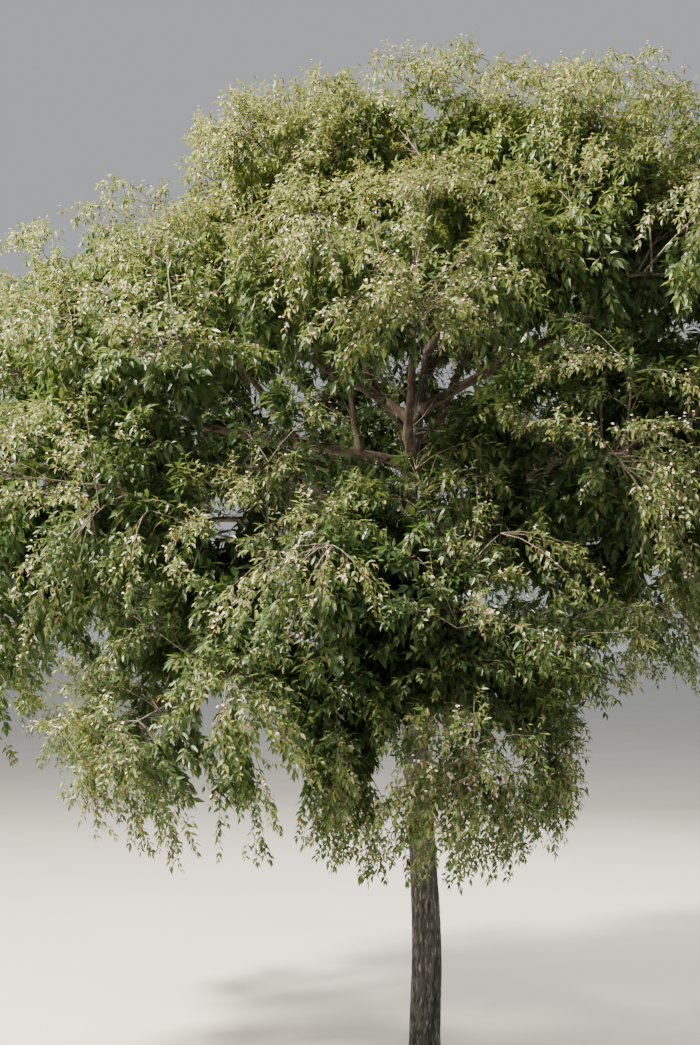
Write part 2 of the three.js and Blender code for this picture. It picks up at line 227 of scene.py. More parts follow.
def centripetal_course(stations: Array, samples: int = 60) -> Course:
    """A centripetal Catmull-Rom line through stations.

    Args:
        stations: the points it passes, (n, 3).
        samples: how many samples each stretch gets.

    Returns:
        The line.
    """
    first = 2 * stations[0] - stations[1]
    last = 2 * stations[-1] - stations[-2]
    path = np.vstack([first, stations, last])
    t = np.linspace(0, 1, samples, endpoint=False)[:, None]
    pieces = []
    for p0, p1, p2, p3 in zip(path, path[1:], path[2:], path[3:]):
        d0, d1, d2 = (math.sqrt(np.linalg.norm(b - a)) for a, b in ((p0, p1), (p1, p2), (p2, p3)))
        out = ((p1 - p0) / d0 - (p2 - p0) / (d0 + d1) + (p2 - p1) / d1) * d1
        into = ((p2 - p1) / d1 - (p3 - p1) / (d1 + d2) + (p3 - p2) / d2) * d1
        a = 2 * p1 - 2 * p2 + out + into
        b = -3 * p1 + 3 * p2 - 2 * out - into
        pieces.append(a * t**3 + b * t**2 + out * t + p1)
    pieces.append(stations[-1:])
    return Course(np.vstack(pieces))


class MeshStock:
    """Points and faces gathered for one piece."""

    def __init__(self) -> None:
        """Starts empty."""
        self.points: list[Array] = []
        self.relief: list[Array] = []
        self.faces: list[Array] = []
        self.count = 0

    def add(self, points: Array, *faces: Array, relief: Array | None = None) -> None:
        """Adds points, the faces among them, and how high the bark stands at each point.

        Args:
            points: the points, in rows of three.
            *faces: groups of faces with as many corners each.
            relief: how high the bark stands at each point, or nothing where there is none.
        """
        self.points.append(points.reshape(-1, 3))
        self.relief.append(np.zeros(len(self.points[-1])) if relief is None else relief.ravel())
        self.faces.extend(group + self.count for group in faces)
        self.count += len(self.points[-1])

    def triangles(self) -> int:
        """How many triangles the faces make."""
        return sum(len(group) * (group.shape[1] - 2) for group in self.faces)

    def piece(self, name: str, material: bpy.types.Material, smooth: bool = True) -> bpy.types.Object:
        """Makes the Blender object.

        Args:
            name: its name.
            material: its one material.
            smooth: whether its faces are shaded smooth.

        Returns:
            The object, linked to the scene.
        """
        mesh = bpy.data.meshes.new(name)
        points = np.vstack(self.points).astype(np.float32)
        loops = np.concatenate([group.ravel() for group in self.faces]).astype(np.int32)
        sizes = np.concatenate([np.full(len(group), group.shape[1]) for group in self.faces])
        starts = np.concatenate([[0], np.cumsum(sizes)[:-1]]).astype(np.int32)
        mesh.vertices.add(len(points))
        mesh.vertices.foreach_set("co", points.ravel())
        mesh.loops.add(len(loops))
        mesh.loops.foreach_set("vertex_index", loops)
        mesh.polygons.add(len(starts))
        mesh.polygons.foreach_set("loop_start", starts)
        mesh.polygons.foreach_set("use_smooth", np.full(len(starts), smooth))
        mesh.update(calc_edges=True)
        if any(group.any() for group in self.relief):
            heights = mesh.attributes.new(RELIEF, "FLOAT", "POINT")
            heights.data.foreach_set("value", np.concatenate(self.relief).astype(np.float32))
        mesh.validate()
        mesh.materials.append(material)
        made = bpy.data.objects.new(name, mesh)
        bpy.context.scene.collection.objects.link(made)
        return made


def add_tubes(stock: MeshStock, paths: Array, radii: tuple[float, float], sides: int = 3) -> None:
    """Adds evenly tapering twigs that each end in a point.

    Args:
        stock: where the twigs go.
        paths: their middle lines, (n, k, 3).
        radii: their first radius, and the last one, which the point cuts short.
        sides: how many flat sides each has.
    """
    count, rings = paths.shape[:2]
    thickness = np.linspace(*radii, rings)[:-1, None, None]
    tangents = unit(np.gradient(paths, axis=1))
    chord = unit(paths[:, -1] - paths[:, 0])
    level = np.cross(chord, UP)
    steep = np.linalg.norm(level, axis=1) < STEEP
    level[steep] = np.cross(chord[steep], np.array([1.0, 0.0, 0.0]))
    side = square_to(unit(level)[:, None], tangents)
    over = np.cross(tangents, side)
    angles = np.arange(sides) * FULL_TURN / sides
    ring = side[:, :-1, None] * np.cos(angles)[:, None] + over[:, :-1, None] * np.sin(angles)[:, None]
    skin = paths[:, :-1, None] + ring * thickness
    points = np.concatenate([skin.reshape(count, -1, 3), paths[:, -1:]], axis=1)
    quads, tips = [], []
    for row in range(rings - 1):
        for i in range(sides):
            a, b = row * sides + i, row * sides + (i + 1) % sides
            if row < rings - 2:
                quads.append([a, b, b + sides, a + sides])
            else:
                tips.append([a, b, (rings - 1) * sides])
    first = (np.arange(count) * points.shape[1])[:, None, None]
    groups = [np.array(group)[None] + first for group in (quads, tips) if group]
    stock.add(points, *(group.reshape(-1, group.shape[-1]) for group in groups))


# ---- finishes

RELIEF = "relief"


class Slot(Enum):
    """The record's material slots."""

    BARK = "bark"
    LIMB_BARK = "limb_bark"
    FOLIAGE = "foliage"
    TWIG = "twig"
    BLOSSOM = "blossom"


def linear(colour: str) -> tuple[float, float, float, float]:
    """Turns an sRGB hex colour into a linear one with full opacity.

    Args:
        colour: the sRGB hex colour.

    Returns:
        Red, green, blue and opacity, from 0 to 1.
    """
    parts = [int(colour[i : i + 2], 16) / 255 for i in (0, 2, 4)]
    spread = [p / 12.92 if p <= 0.04045 else ((p + 0.055) / 1.055) ** 2.4 for p in parts]
    return (spread[0], spread[1], spread[2], 1.0)


def add_node(
    tree: bpy.types.NodeTree,
    kind: str,
    inputs: dict[str | int, object] | None = None,
    stops: list[tuple[float, str]] | None = None,
    output: str | int = 0,
    **settings: object,
) -> bpy.types.NodeSocket | None:
    """Adds a node with its settings, values and links.

    Args:
        tree: the node tree.
        kind: the node's Blender type.
        inputs: for each socket its value, or the socket that feeds it.
        stops: a colour ramp's places and sRGB hex colours.
        output: which of its outputs is wanted.
        settings: the node's own properties.

    Returns:
        The wanted output, or nothing where the node has none.
    """
    node = tree.nodes.new(kind)
    for name, value in settings.items():
        setattr(node, name, value)
    for socket, value in (inputs or {}).items():
        if isinstance(value, bpy.types.NodeSocket):
            tree.links.new(value, node.inputs[socket])
        else:
            node.inputs[socket].default_value = value
    for i, (place, colour) in enumerate(stops or []):
        ramp = node.color_ramp.elements
        stop = ramp[i] if i < len(ramp) else ramp.new(place)
        stop.position = place
        stop.color = linear(colour)
    return node.outputs[output] if node.outputs else None


@dataclass(frozen=True)
class Finish:
    """A real finish, under the name of what it is."""

    name: str

    def surface(self, tree: bpy.types.NodeTree) -> bpy.types.NodeSocket:
        """Adds the finish's own nodes, and gives the shader that they end in."""
        raise NotImplementedError

    def make(self) -> bpy.types.Material:
        """Builds the material.

        Returns:
            The material.
        """
        material = bpy.data.materials.new(self.name)
        material.use_nodes = True
        tree = material.node_tree
        tree.nodes.clear()
        add_node(tree, "ShaderNodeOutputMaterial", {"Surface": self.surface(tree)})
        return material


@dataclass(frozen=True)
class FissuredBark(Finish):
    """Living bark of a small tree: cork split by growth into fine upright fissures, over brown inner bark.

    The grooves are dark and dull, the plates grey-brown, and the newest cork shows in paler flakes.
    """

    groove: str
    plate: str
    crest: str
    flake: str
    patch_mm: float
    fibre_mm: float
    roughness: float
    flaking: float
    drawn_out: float = 0.16
    flake_from: float = 0.57
    flake_full: float = 0.66
    grain_mm: float = 1.2

    def surface(self, tree: bpy.types.NodeTree) -> bpy.types.NodeSocket:
        """Tones by the mesh's relief, with fibres and flakes drawn out along the limb.

        Args:
            tree: the material's node tree.

        Returns:
            The shader's socket.
        """
        place = add_node(tree, "ShaderNodeTexCoord", output="Object")
        stretch = {"Vector": place, "Scale": (1.0, 1.0, self.drawn_out)}
        upright = add_node(tree, "ShaderNodeMapping", stretch)
        relief = add_node(tree, "ShaderNodeAttribute", output="Fac", attribute_name=RELIEF)
        fibres, patches = (
            add_node(
                tree,
                "ShaderNodeTexNoise",
                {"Vector": upright, "Scale": 1 / (size * MM), "Detail": detail, "Roughness": rough},
            )
            for size, detail, rough in ((self.fibre_mm, 3.0, 0.6), (self.patch_mm, 4.0, 0.55))
        )
        shade = add_node(tree, "ShaderNodeMath", {0: fibres, 1: 0.5, 2: -0.25}, operation="MULTIPLY_ADD")
        height = add_node(tree, "ShaderNodeMath", {0: relief, 1: shade}, operation="ADD")
        stops = [(0.12, self.groove), (0.42, self.plate), (0.86, self.crest)]
        tone = add_node(tree, "ShaderNodeValToRGB", {"Fac": height}, stops)
        flaked = {"From Min": self.flake_from, "From Max": self.flake_full, "To Max": self.flaking}
        flakes = add_node(tree, "ShaderNodeMapRange", {"Value": patches} | flaked)
        both = {0: flakes, 1: height}
        raised = add_node(tree, "ShaderNodeMath", both, operation="MULTIPLY", use_clamp=True)
        mixed = {"Factor": raised, 6: tone, 7: linear(self.flake)}
        colour = add_node(tree, "ShaderNodeMix", mixed, output=2, data_type="RGBA")
        depth = self.grain_mm * MM
        grain = add_node(tree, "ShaderNodeBump", {"Strength": 0.7, "Distance": depth, "Height": fibres})
        skin = {"Base Color": colour, "Roughness": self.roughness, "IOR": 1.45, "Normal": grain}
        return add_node(tree, "ShaderNodeBsdfPrincipled", skin)


@dataclass(frozen=True)
class Blotched(Finish):
    """A surface whose colour drifts softly between two tones, over blotches of a real size."""

    colour: str
    shade: str
    blotch_mm: float = 40.0
    detail: float = 2.0
    drift: tuple[float, float] = (0.36, 0.62)

    def tone(self, tree: bpy.types.NodeTree) -> bpy.types.NodeSocket:
        """The drifting colour.

        Args:
            tree: the material's node tree.

        Returns:
            The colour's socket.
        """
        place = add_node(tree, "ShaderNodeTexCoord", output="Object")
        noise = {"Vector": place, "Scale": 1 / (self.blotch_mm * MM), "Detail": self.detail}
        blotch = add_node(tree, "ShaderNodeTexNoise", noise)
        stops = list(zip(self.drift, (self.shade, self.colour)))
        return add_node(tree, "ShaderNodeValToRGB", {"Fac": blotch}, stops)


@dataclass(frozen=True)
class Leaf(Blotched):
    """A living evergreen leaf: a waxy cuticle over green tissue, thin enough for sunlight to glow through.

    The wax gives small bright glints, and the tissue a soft yellow-green glow from behind.
    """

    glow: str = "828f42"
    roughness: float = 0.37
    through: float = 0.3

    def surface(self, tree: bpy.types.NodeTree) -> bpy.types.NodeSocket:
        """Wax over tissue that lets light through.

        Args:
            tree: the material's node tree.

        Returns:
            The shader's socket.
        """
        wax = {"Roughness": self.roughness, "IOR": 1.45, "Specular IOR Level": 0.54}
        cuticle = add_node(tree, "ShaderNodeBsdfPrincipled", {"Base Color": self.tone(tree)} | wax)
        tissue = add_node(tree, "ShaderNodeBsdfTranslucent", {"Color": linear(self.glow)})
        return add_node(tree, "ShaderNodeMixShader", {0: self.through, 1: cuticle, 2: tissue})


@dataclass(frozen=True)
class Petal(Blotched):
    """A fresh petal: soft matt tissue full of air, nearly white with a blush of pink."""

    blotch_mm: float = 60.0
    drift: tuple[float, float] = (0.38, 0.58)

    def surface(self, tree: bpy.types.NodeTree) -> bpy.types.NodeSocket:
        """Soft matt tissue."""
        tissue = {"Base Color": self.tone(tree), "Roughness": 0.6, "IOR": 1.4}
        return add_node(tree, "ShaderNodeBsdfPrincipled", tissue)


@dataclass(frozen=True)
class SmoothTwig(Blotched):
    """Young twig bark: a thin smooth skin, brown with grey streaks where it begins to cork."""

    blotch_mm: float = 14.0
    detail: float = 3.0
    drift: tuple[float, float] = (0.4, 0.66)

    def surface(self, tree: bpy.types.NodeTree) -> bpy.types.NodeSocket:
        """Smooth thin bark."""
        skin = {"Base Color": self.tone(tree), "Roughness": 0.62, "IOR": 1.45}
        return add_node(tree, "ShaderNodeBsdfPrincipled", skin)


@dataclass(frozen=True)
class StudioFloor(Blotched):
    """A painted studio floor: pale matt paint, faintly uneven from the roller."""

    blotch_mm: float = 5000 / 3
    detail: float = 3.0
    drift: tuple[float, float] = (0.35, 0.65)

    def surface(self, tree: bpy.types.NodeTree) -> bpy.types.NodeSocket:
        """Matt paint."""
        paint = {"Base Color": self.tone(tree), "Roughness": 0.8}
        return add_node(tree, "ShaderNodeBsdfPrincipled", paint)


class Tint(Enum):
    """The leaf colours, dealt out by spray."""

    OLIVE = "olive"
    MOSS = "moss"
    GRASS = "grass"
    DEEP = "deep"
    LIME = "lime"
    # painted sheen: pale leaves that stand for light glinting on the wax of sunny leaves
    PAINTED_SHEEN = "painted_sheen"
    BRONZE = "bronze"
    SPENT = "spent"


# Grey bark, its tones set darker than the bark alone: painted shade, for the shade the trunk stands in
# under the crown.
TRUNK_BARK_AND_SHADE = FissuredBark(
    "trunk_bark_and_shade",
    groove="1c1c1b",
    plate="3c3c38",
    crest="575752",
    flake="a5a59e",
    patch_mm=10.0,
    fibre_mm=3.5,
    roughness=0.92,
    flaking=0.95,
)
# Brown-grey bark, its tones set a little darker than the bark alone: partly painted shade, for the shade
# inside the crown.
LIMB_BARK = FissuredBark(
    "limb_bark",
    groove="2b211b",
    plate="51453b",
    crest="706559",
    flake="918a7d",
    patch_mm=24.0,
    fibre_mm=4.0,
    roughness=0.86,
    flaking=0.6,
)
TWIG_BARK = SmoothTwig("twig_bark", "8f877a", "605548")
SHOOT_BARK = SmoothTwig("shoot_bark", "7d6c52", "6b503c")
PETALS = Petal("blossom_petals", "e4d2c9", "cfaba6")
FLOOR_PAINT = StudioFloor("floor_paint", "d9d6cf", "d3d0c9")
# Lime, olive, moss, grass and deep are dealt by sun and depth: partly sun and shade leaves, partly painted
# sunlight and painted shade; deep and grass carry the cooler green of shaded leaves.
LEAVES = {
    Tint.OLIVE: Leaf("leaf_olive", "6f7b49", "5b693a", glow="828f42"),
    Tint.MOSS: Leaf("leaf_moss", "5b7047", "4a5f39", glow="6e8440"),
    Tint.GRASS: Leaf("leaf_grass", "476438", "39522d", glow="5f7b34"),
    Tint.DEEP: Leaf("leaf_deep", "354a2b", "2a3c23", glow="4c672f"),
    Tint.LIME: Leaf("leaf_lime", "97a45b", "7f8e47", glow="a8b55a"),
    # painted sheen: paler, glossier leaves for light glinting on sunlit wax
    Tint.PAINTED_SHEEN: Leaf("leaf_painted_sheen", "adb08c", "949870", glow="a0a664", roughness=0.34),
    Tint.BRONZE: Leaf("leaf_bronze", "8d7a5c", "766349", glow="8f7d50"),
    Tint.SPENT: Leaf("leaf_spent", "bb7a30", "a36424", glow="c98a36"),
}


# ---- the skeleton, by the same rule as the solids


@dataclass(frozen=True)
class MassPlan:
    """Where one mass of foliage stands and what carries it, in millimetres and degrees.

    A main bough starts on the trunk at a height, and a side bough at a share of another bough's length.
    """

    name: str
    turn: float = 0.0
    reach: float = 0.0
    up: float = 0.0
    wide: float = 1000.0
    tall: float = 600.0
    start: float = 0.0
    on: str = ""
    at: float = 0.0
    lift: float = 0.16
    onward: float = 0.0
    leafy: float = 1.0


PLANS = [
    MassPlan("front", 272, 1850, 2900, 1020, 600, start=2330, leafy=1.2),
    MassPlan("front_left", 246, 2080, 3020, 1100, 640, start=2640),
    MassPlan("left_front", 216, 2200, 3440, 1080, 700, start=3080),
    MassPlan("right_front", 303, 1800, 3640, 1060, 640, start=2880),
    MassPlan("right", 352, 2250, 4080, 1200, 700, start=3230),
    MassPlan("back_right", 38, 2250, 3950, 1240, 720, start=2760, leafy=1.1),
    MassPlan("back", 90, 2200, 3980, 1240, 800, start=2500, leafy=1.35),
    MassPlan("back_left", 140, 2250, 3850, 1240, 720, start=3170, leafy=1.15),
    MassPlan("left", 183, 2430, 4120, 1120, 660, start=3760, lift=0.02),
    MassPlan("upper_left", 172, 2200, 4750, 1160, 580, start=4030),
    MassPlan("upper_back_right", 62, 1750, 5100, 1180, 700, start=3640, leafy=1.2),
    MassPlan("upper_back_left", 124, 1660, 4970, 1240, 700, start=3900, leafy=1.25),
    MassPlan("upper_front", 266, 1500, 4600, 1080, 620, start=3460),
    MassPlan("upper_right", 6, 2300, 5230, 1160, 680, start=4100, lift=0.05, leafy=0.75),
    MassPlan("top_far_right", 30, 1680, 5910, 1040, 600, start=4300, leafy=0.75),
    MassPlan("top_right", 328, 1120, 5440, 1020, 600, start=4470),
    MassPlan("top_back", 104, 900, 5780, 1060, 600, start=4620),
    MassPlan("skirt_front", 267, 1950, 2280, 820, 580, on="front", at=0.62, leafy=1.5),
    MassPlan("skirt_front_left", 241, 2150, 2410, 900, 660, on="front_left", at=0.6),
    MassPlan("skirt_left", 193, 2400, 2900, 1020, 660, on="left_front", at=0.5),
    MassPlan("skirt_right_front", 318, 1600, 3240, 900, 560, on="right_front", at=0.42),
    MassPlan("skirt_right", 350, 2150, 3380, 1080, 600, on="right", at=0.5),
    MassPlan("skirt_back_right", 40, 2200, 3280, 1160, 660, on="back_right", at=0.5, leafy=0.95),
    MassPlan("skirt_back", 88, 2200, 2620, 1160, 680, on="back", at=0.5, leafy=0.9),
    MassPlan("skirt_back_left", 142, 2260, 2700, 1180, 680, on="back_left", at=0.5, leafy=0.9),
    MassPlan("upper_left_front", 220, 1880, 4320, 1160, 680, on="left", at=0.45),
    MassPlan("shoulder", 205, 860, 5460, 690, 640, on="left", at=0.2),
    MassPlan("upper_right_front", 316, 1700, 4700, 1140, 700, on="upper_right", at=0.28),
    MassPlan("top", wide=1040, tall=600, onward=980),
]


class Space:
    """The rounded, drooping space that one mass of foliage keeps to."""

    heart = np.array([0.15, 0.0, 3.3])  # the middle of the crown
    fullness = 3.0
    room = 14 * MM  # between a mass and its neighbour
    halvings = 22
    farthest = 4.0

    def __init__(self, plan: MassPlan, trunk: "Trunk") -> None:
        """Places the space and its own three directions.

        Args:
            plan: its named sizes.
            trunk: carries the mass that stands onward from its tip.
        """
        self.plan = plan
        self.wide = plan.wide * MM
        self.tall = plan.tall * MM
        if plan.onward:
            self.middle = trunk.course.at(1.0) + trunk.course.heading(1.0) * plan.onward * MM
        else:
            bearing = math.radians(plan.turn)
            level = plan.reach * MM
            self.middle = np.array([level * math.cos(bearing), level * math.sin(bearing), plan.up * MM])
        self.outward = unit(self.middle - self.heart)
        self.rise = unit(self.outward + UP)
        self.across = unit(np.cross(UP, self.rise))
        self.out = np.cross(self.across, self.rise)
        self.wall_normals = np.zeros((0, 3))
        self.wall_places = np.zeros(0)

    def stand_out(self, direction: Array) -> float:
        """How far the rounded outline stands out along a unit direction.

        Args:
            direction: the direction.

        Returns:
            The distance from the middle to the flat wall, square to it, that just touches the outline.
        """
        power = self.fullness / (self.fullness - 1)
        total = (
            abs(self.wide * direction @ self.out) ** power
            + abs(self.wide * direction @ self.across) ** power
            + abs(self.tall * direction @ self.rise) ** power
        )
        return total ** (1 / power)

    def wall_off(self, other: "Space") -> None:
        """Adds the flat wall between this space and another where they would meet.

        Args:
            other: the other space.
        """
        apart = other.middle - self.middle
        distance = float(np.linalg.norm(apart))
        direction = apart / distance
        mine = self.stand_out(direction)
        theirs = other.stand_out(direction)
        if distance > mine + theirs + self.room:
            return
        place = direction @ self.middle + distance * mine / (mine + theirs) - self.room / 2
        self.wall_normals = np.vstack([self.wall_normals, direction])
        self.wall_places = np.append(self.wall_places, place)

    def filled(self, offsets: Array) -> Array:
        """How far out offsets from the middle are: 1 on the rounded outline, and more outside it.

        Args:
            offsets: the offsets, (n, 3).

        Returns:
            One number for each offset.
        """
        return (
            np.abs(offsets @ self.out / self.wide) ** self.fullness
            + np.abs(offsets @ self.across / self.wide) ** self.fullness
            + np.abs(offsets @ self.rise / self.tall) ** self.fullness
        )

    def holds(self, points: Array, past_walls: float = 0.0) -> Array:
        """Which points are inside.

        Args:
            points: the points, (n, 3).
            past_walls: how far they may pass a wall.

        Returns:
            True for each point that is inside.
        """
        inside = self.filled(points - self.middle) <= 1
        if len(self.wall_places):
            inside &= np.all(points @ self.wall_normals.T <= self.wall_places + past_walls, axis=1)
        return inside

    def reach(self, start: Array, directions: Array) -> Array:
        """How far one can go from a point inside, along each direction, before leaving the space.

        Args:
            start: the point.
            directions: the unit directions, (n, 3).

        Returns:
            One distance for each direction.
        """
        inside = np.zeros(len(directions))
        outside = np.full(len(directions), self.farthest)
        for _ in range(self.halvings):
            middle = (inside + outside) / 2
            held = self.holds(start + directions * middle[:, None])
            inside = np.where(held, middle, inside)
            outside = np.where(held, outside, middle)
        return inside

    def rounded_reach(self, directions: Array) -> Array:
        """How far the rounded outline lies from the middle along each direction, walls left out."""
        return self.filled(directions) ** (-1 / self.fullness)


class RadiusRule:
    """Gives a limb's radius for shares of its length and angles round it."""

    def __call__(self, shares: Array, angles: Array) -> Array:
        """The radius at each share and angle."""
        raise NotImplementedError


@dataclass(frozen=True)
class LimbSkin:
    """Lays a mesh with the bark's relief over a limb.

    Plates stand between upright fissures, with smaller crumbs over both. Sizes are in metres.
    """

    sides: int
    step: float
    fissure: float
    stretch: float
    depth: float
    seed: int
    depth_share: float = 0.12
    least_rings: int = 8
    least_columns: int = 5
    least_rows: int = 4
    sway_columns: int = 5
    sway_share: float = 0.6
    edge: float = 0.7
    plate_height: float = 0.78
    crumb_height: float = 0.34
    cut_relief: tuple[float, float] = (0.0, 0.5)  # in the middle of the foot and of the tip
    upright: float = 0.98
    waves: tuple[tuple[float, float], ...] = ((9.0, 21.0), (8.0, 19.0))  # slow and fast, each way

    def relief(self, round_share: Array, along: Array, girth: float, length: float) -> Array:
        """How high the bark stands, from 0 in a fissure to 1 on a plate.

        Args:
            round_share: place round the limb, from 0 to 1.
            along: place along it, from 0 to 1.
            girth: the limb's girth in metres.
            length: the limb's length in metres.

        Returns:
            One height for each place.
        """
        columns = max(self.least_columns, round(girth / self.fissure))
        rows = max(self.least_rows, round(length / self.stretch))
        drift = wrapped_noise(round_share, along, self.sway_columns, rows, self.seed) - 0.5
        sway = self.sway_share / columns * drift
        first = wrapped_noise((round_share + sway) % 1, along, columns, rows, self.seed + 1)
        crumbs = wrapped_noise(round_share, along, columns * 2, rows * 3, self.seed + 2)
        ridges = 1 - np.abs(2 * first - 1) ** self.edge
        return np.clip(self.plate_height * (1 - ridges) + self.crumb_height * crumbs, 0, 1)

    def faces(self, rings: int) -> list[Array]:
        """The faces of a skin of so many rings: its sides, its foot and its tip.

        Args:
            rings: how many rings it has.

        Returns:
            Groups of faces with as many corners each, as numbers of the skin's points.
        """
        i = np.arange(self.sides)
        j = (i + 1) % self.sides
        rows = (np.arange(rings - 1) * self.sides)[:, None]
        quads = np.stack([rows + i, rows + j, rows + j + self.sides, rows + i + self.sides], axis=-1)
        last = (rings - 1) * self.sides
        foot = np.stack([j, i, np.full(self.sides, rings * self.sides)], axis=-1)
        tip = np.stack([last + i, last + j, np.full(self.sides, rings * self.sides + 1)], axis=-1)
        return [quads.reshape(-1, 4), foot, tip]

    def lay(self, stock: MeshStock, course: Course, radii: RadiusRule, sway: float = 0.0) -> None:
        """Adds the limb's skin, closed at both ends.

        Args:
            stock: where it goes.
            course: the limb's middle line.
            radii: gives the radius for shares of the length and angles round the limb.
            sway: how far the middle line wanders, in metres.
        """
        rings = max(self.least_rings, round(course.length / self.step)) + 1
        shares = np.linspace(0, 1, rings)
        middles = course.at(shares)
        headings = course.heading(shares)
        chord = unit(middles[-1] - middles[0])
        steep = abs(chord[2]) > self.upright
        level = np.array([1.0, 0.0, 0.0]) if steep else unit(np.cross(chord, UP))
        side = square_to(np.broadcast_to(level, headings.shape), headings)
        over = np.cross(headings, side)
        if sway:
            phases = np.random.default_rng(self.seed).random((2, 2)) * FULL_TURN
            fade = np.sin(shares * math.pi)
            for direction, (slow, fast), (early, late) in zip((side, over), self.waves, phases):
                wave = np.sin(shares * slow + early) + 0.5 * np.sin(shares * fast + late)
                middles = middles + direction * (sway * fade * wave)[:, None]
        angles = np.arange(self.sides) * FULL_TURN / self.sides
        share_grid = np.repeat(shares[:, None], self.sides, axis=1)
        angle_grid = np.repeat(angles[None], rings, axis=0)
        base = radii(share_grid, angle_grid)
        girth = float(base.mean()) * FULL_TURN
        height = self.relief(angle_grid / FULL_TURN, share_grid, girth, course.length)
        radius = base - np.minimum(self.depth, base * self.depth_share) * (1 - height)
        ring = side[:, None] * np.cos(angle_grid)[..., None] + over[:, None] * np.sin(angle_grid)[..., None]
        skin = middles[:, None] + ring * radius[..., None]
        points = np.concatenate([skin.reshape(-1, 3), middles[:1], middles[-1:]])
        stock.add(points, *self.faces(rings), relief=np.concatenate([height.ravel(), self.cut_relief]))


@dataclass
class Trunk(RadiusRule):
    """The single trunk: lean, taper and root flare, from the ground to the tip of the leader.

    Each station is its height, its place to the right and to the back, and its thickness, in millimetres.
    """

    stations: tuple[tuple[float, float, float, float], ...] = (
        (0, 0, 0, 262),
        (90, 0, 0, 222),
        (260, 0, 0, 196),
        (800, 14, 8, 184),
        (1350, -8, 16, 168),
        (2050, -50, 24, 154),
        (2700, -104, 24, 136),
        (3300, -92, 14, 120),
        (3800, -70, 4, 104),
        (4250, 0, 0, 62),
        (4500, 32, 0, 50),
        (4750, 44, 0, 42),
    )
    flare_height: float = 420 * MM
    flare_lobes: int = 4
    flare_depth: float = 0.13
    flare_turn: float = 0.7
    skin: LimbSkin = LimbSkin(64, step=16 * MM, fissure=9 * MM, stretch=85 * MM, depth=4 * MM, seed=11)

    def __post_init__(self) -> None:
        """Works out the middle line."""
        table = np.array(self.stations) * MM
        self.heights = table[:, 0]
        self.radii = table[:, 3] / 2
        self.course = centripetal_course(table[:, [1, 2, 0]])

    def __call__(self, shares: Array, angles: Array) -> Array:
        """The radius at shares of the length and angles round the trunk.

        Args:
            shares: shares of the length.
            angles: angles round the trunk, in radians.

        Returns:
            A radius for each.
        """
        height = np.maximum(0, self.course.at(shares)[..., 2])
        flare = np.maximum(0, 1 - height / self.flare_height) ** 2
        lobe = 1 + self.flare_depth * flare * np.cos(self.flare_lobes * (self.flare_turn - angles))
        return np.interp(height, self.heights, self.radii) * lobe

    def radius_at(self, share: float) -> float:
        """The radius where a bough leaves."""
        return float(np.interp(self.course.at(share)[2], self.heights, self.radii))

    def share_at(self, height: float) -> float:
        """The share of the length at which the trunk reaches a height."""
        return float(np.interp(height, self.course.points[:, 2], self.course.shares))

    def build(self) -> bpy.types.Object:
        """Builds the trunk's piece.

        Returns:
            The piece.
        """
        stock = MeshStock()
        self.skin.lay(stock, self.course, self)
        trunk = stock.piece("trunk_with_bark", TRUNK_BARK_AND_SHADE.make())
        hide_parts("trunk")
        return dressed(trunk, stock)


@dataclass(frozen=True)
class BoughKind:
    """What boughs of one kind share: their piece's name, their thicknesses and their flat sides."""

    piece: str
    base: float
    tip: float
    sides: int


MAIN = BoughKind("main_boughs", 78 * MM, 40 * MM, 14)
SIDE = BoughKind("side_boughs", 48 * MM, 28 * MM, 10)


@dataclass
class Bough(RadiusRule):
    """One tapering bough, from its fork to where its foliage begins."""

    space: Space
    course: Course
    kind: BoughKind
    base: float
    tip: float
    collar: float = 0.55
    collar_length: float = 90 * MM
    under_swell: float = 0.25

    def __call__(self, shares: Array, angles: Array) -> Array:
        """The radius, with the swollen collar where the bough leaves its parent.

        Args:
            shares: shares of the length.
            angles: angles round the bough, in radians.

        Returns:
            A radius for each.
        """
        even = self.base + (self.tip - self.base) * shares
        swell = self.collar * np.exp(-((shares * self.course.length / self.collar_length) ** 2))
        under = 1 + self.under_swell * np.maximum(0, -np.sin(angles))
        return even * (1 + swell * under)

    def radius_at(self, share: float) -> float:
        """The radius where a side bough leaves."""
        return self.base + (self.tip - self.base) * share


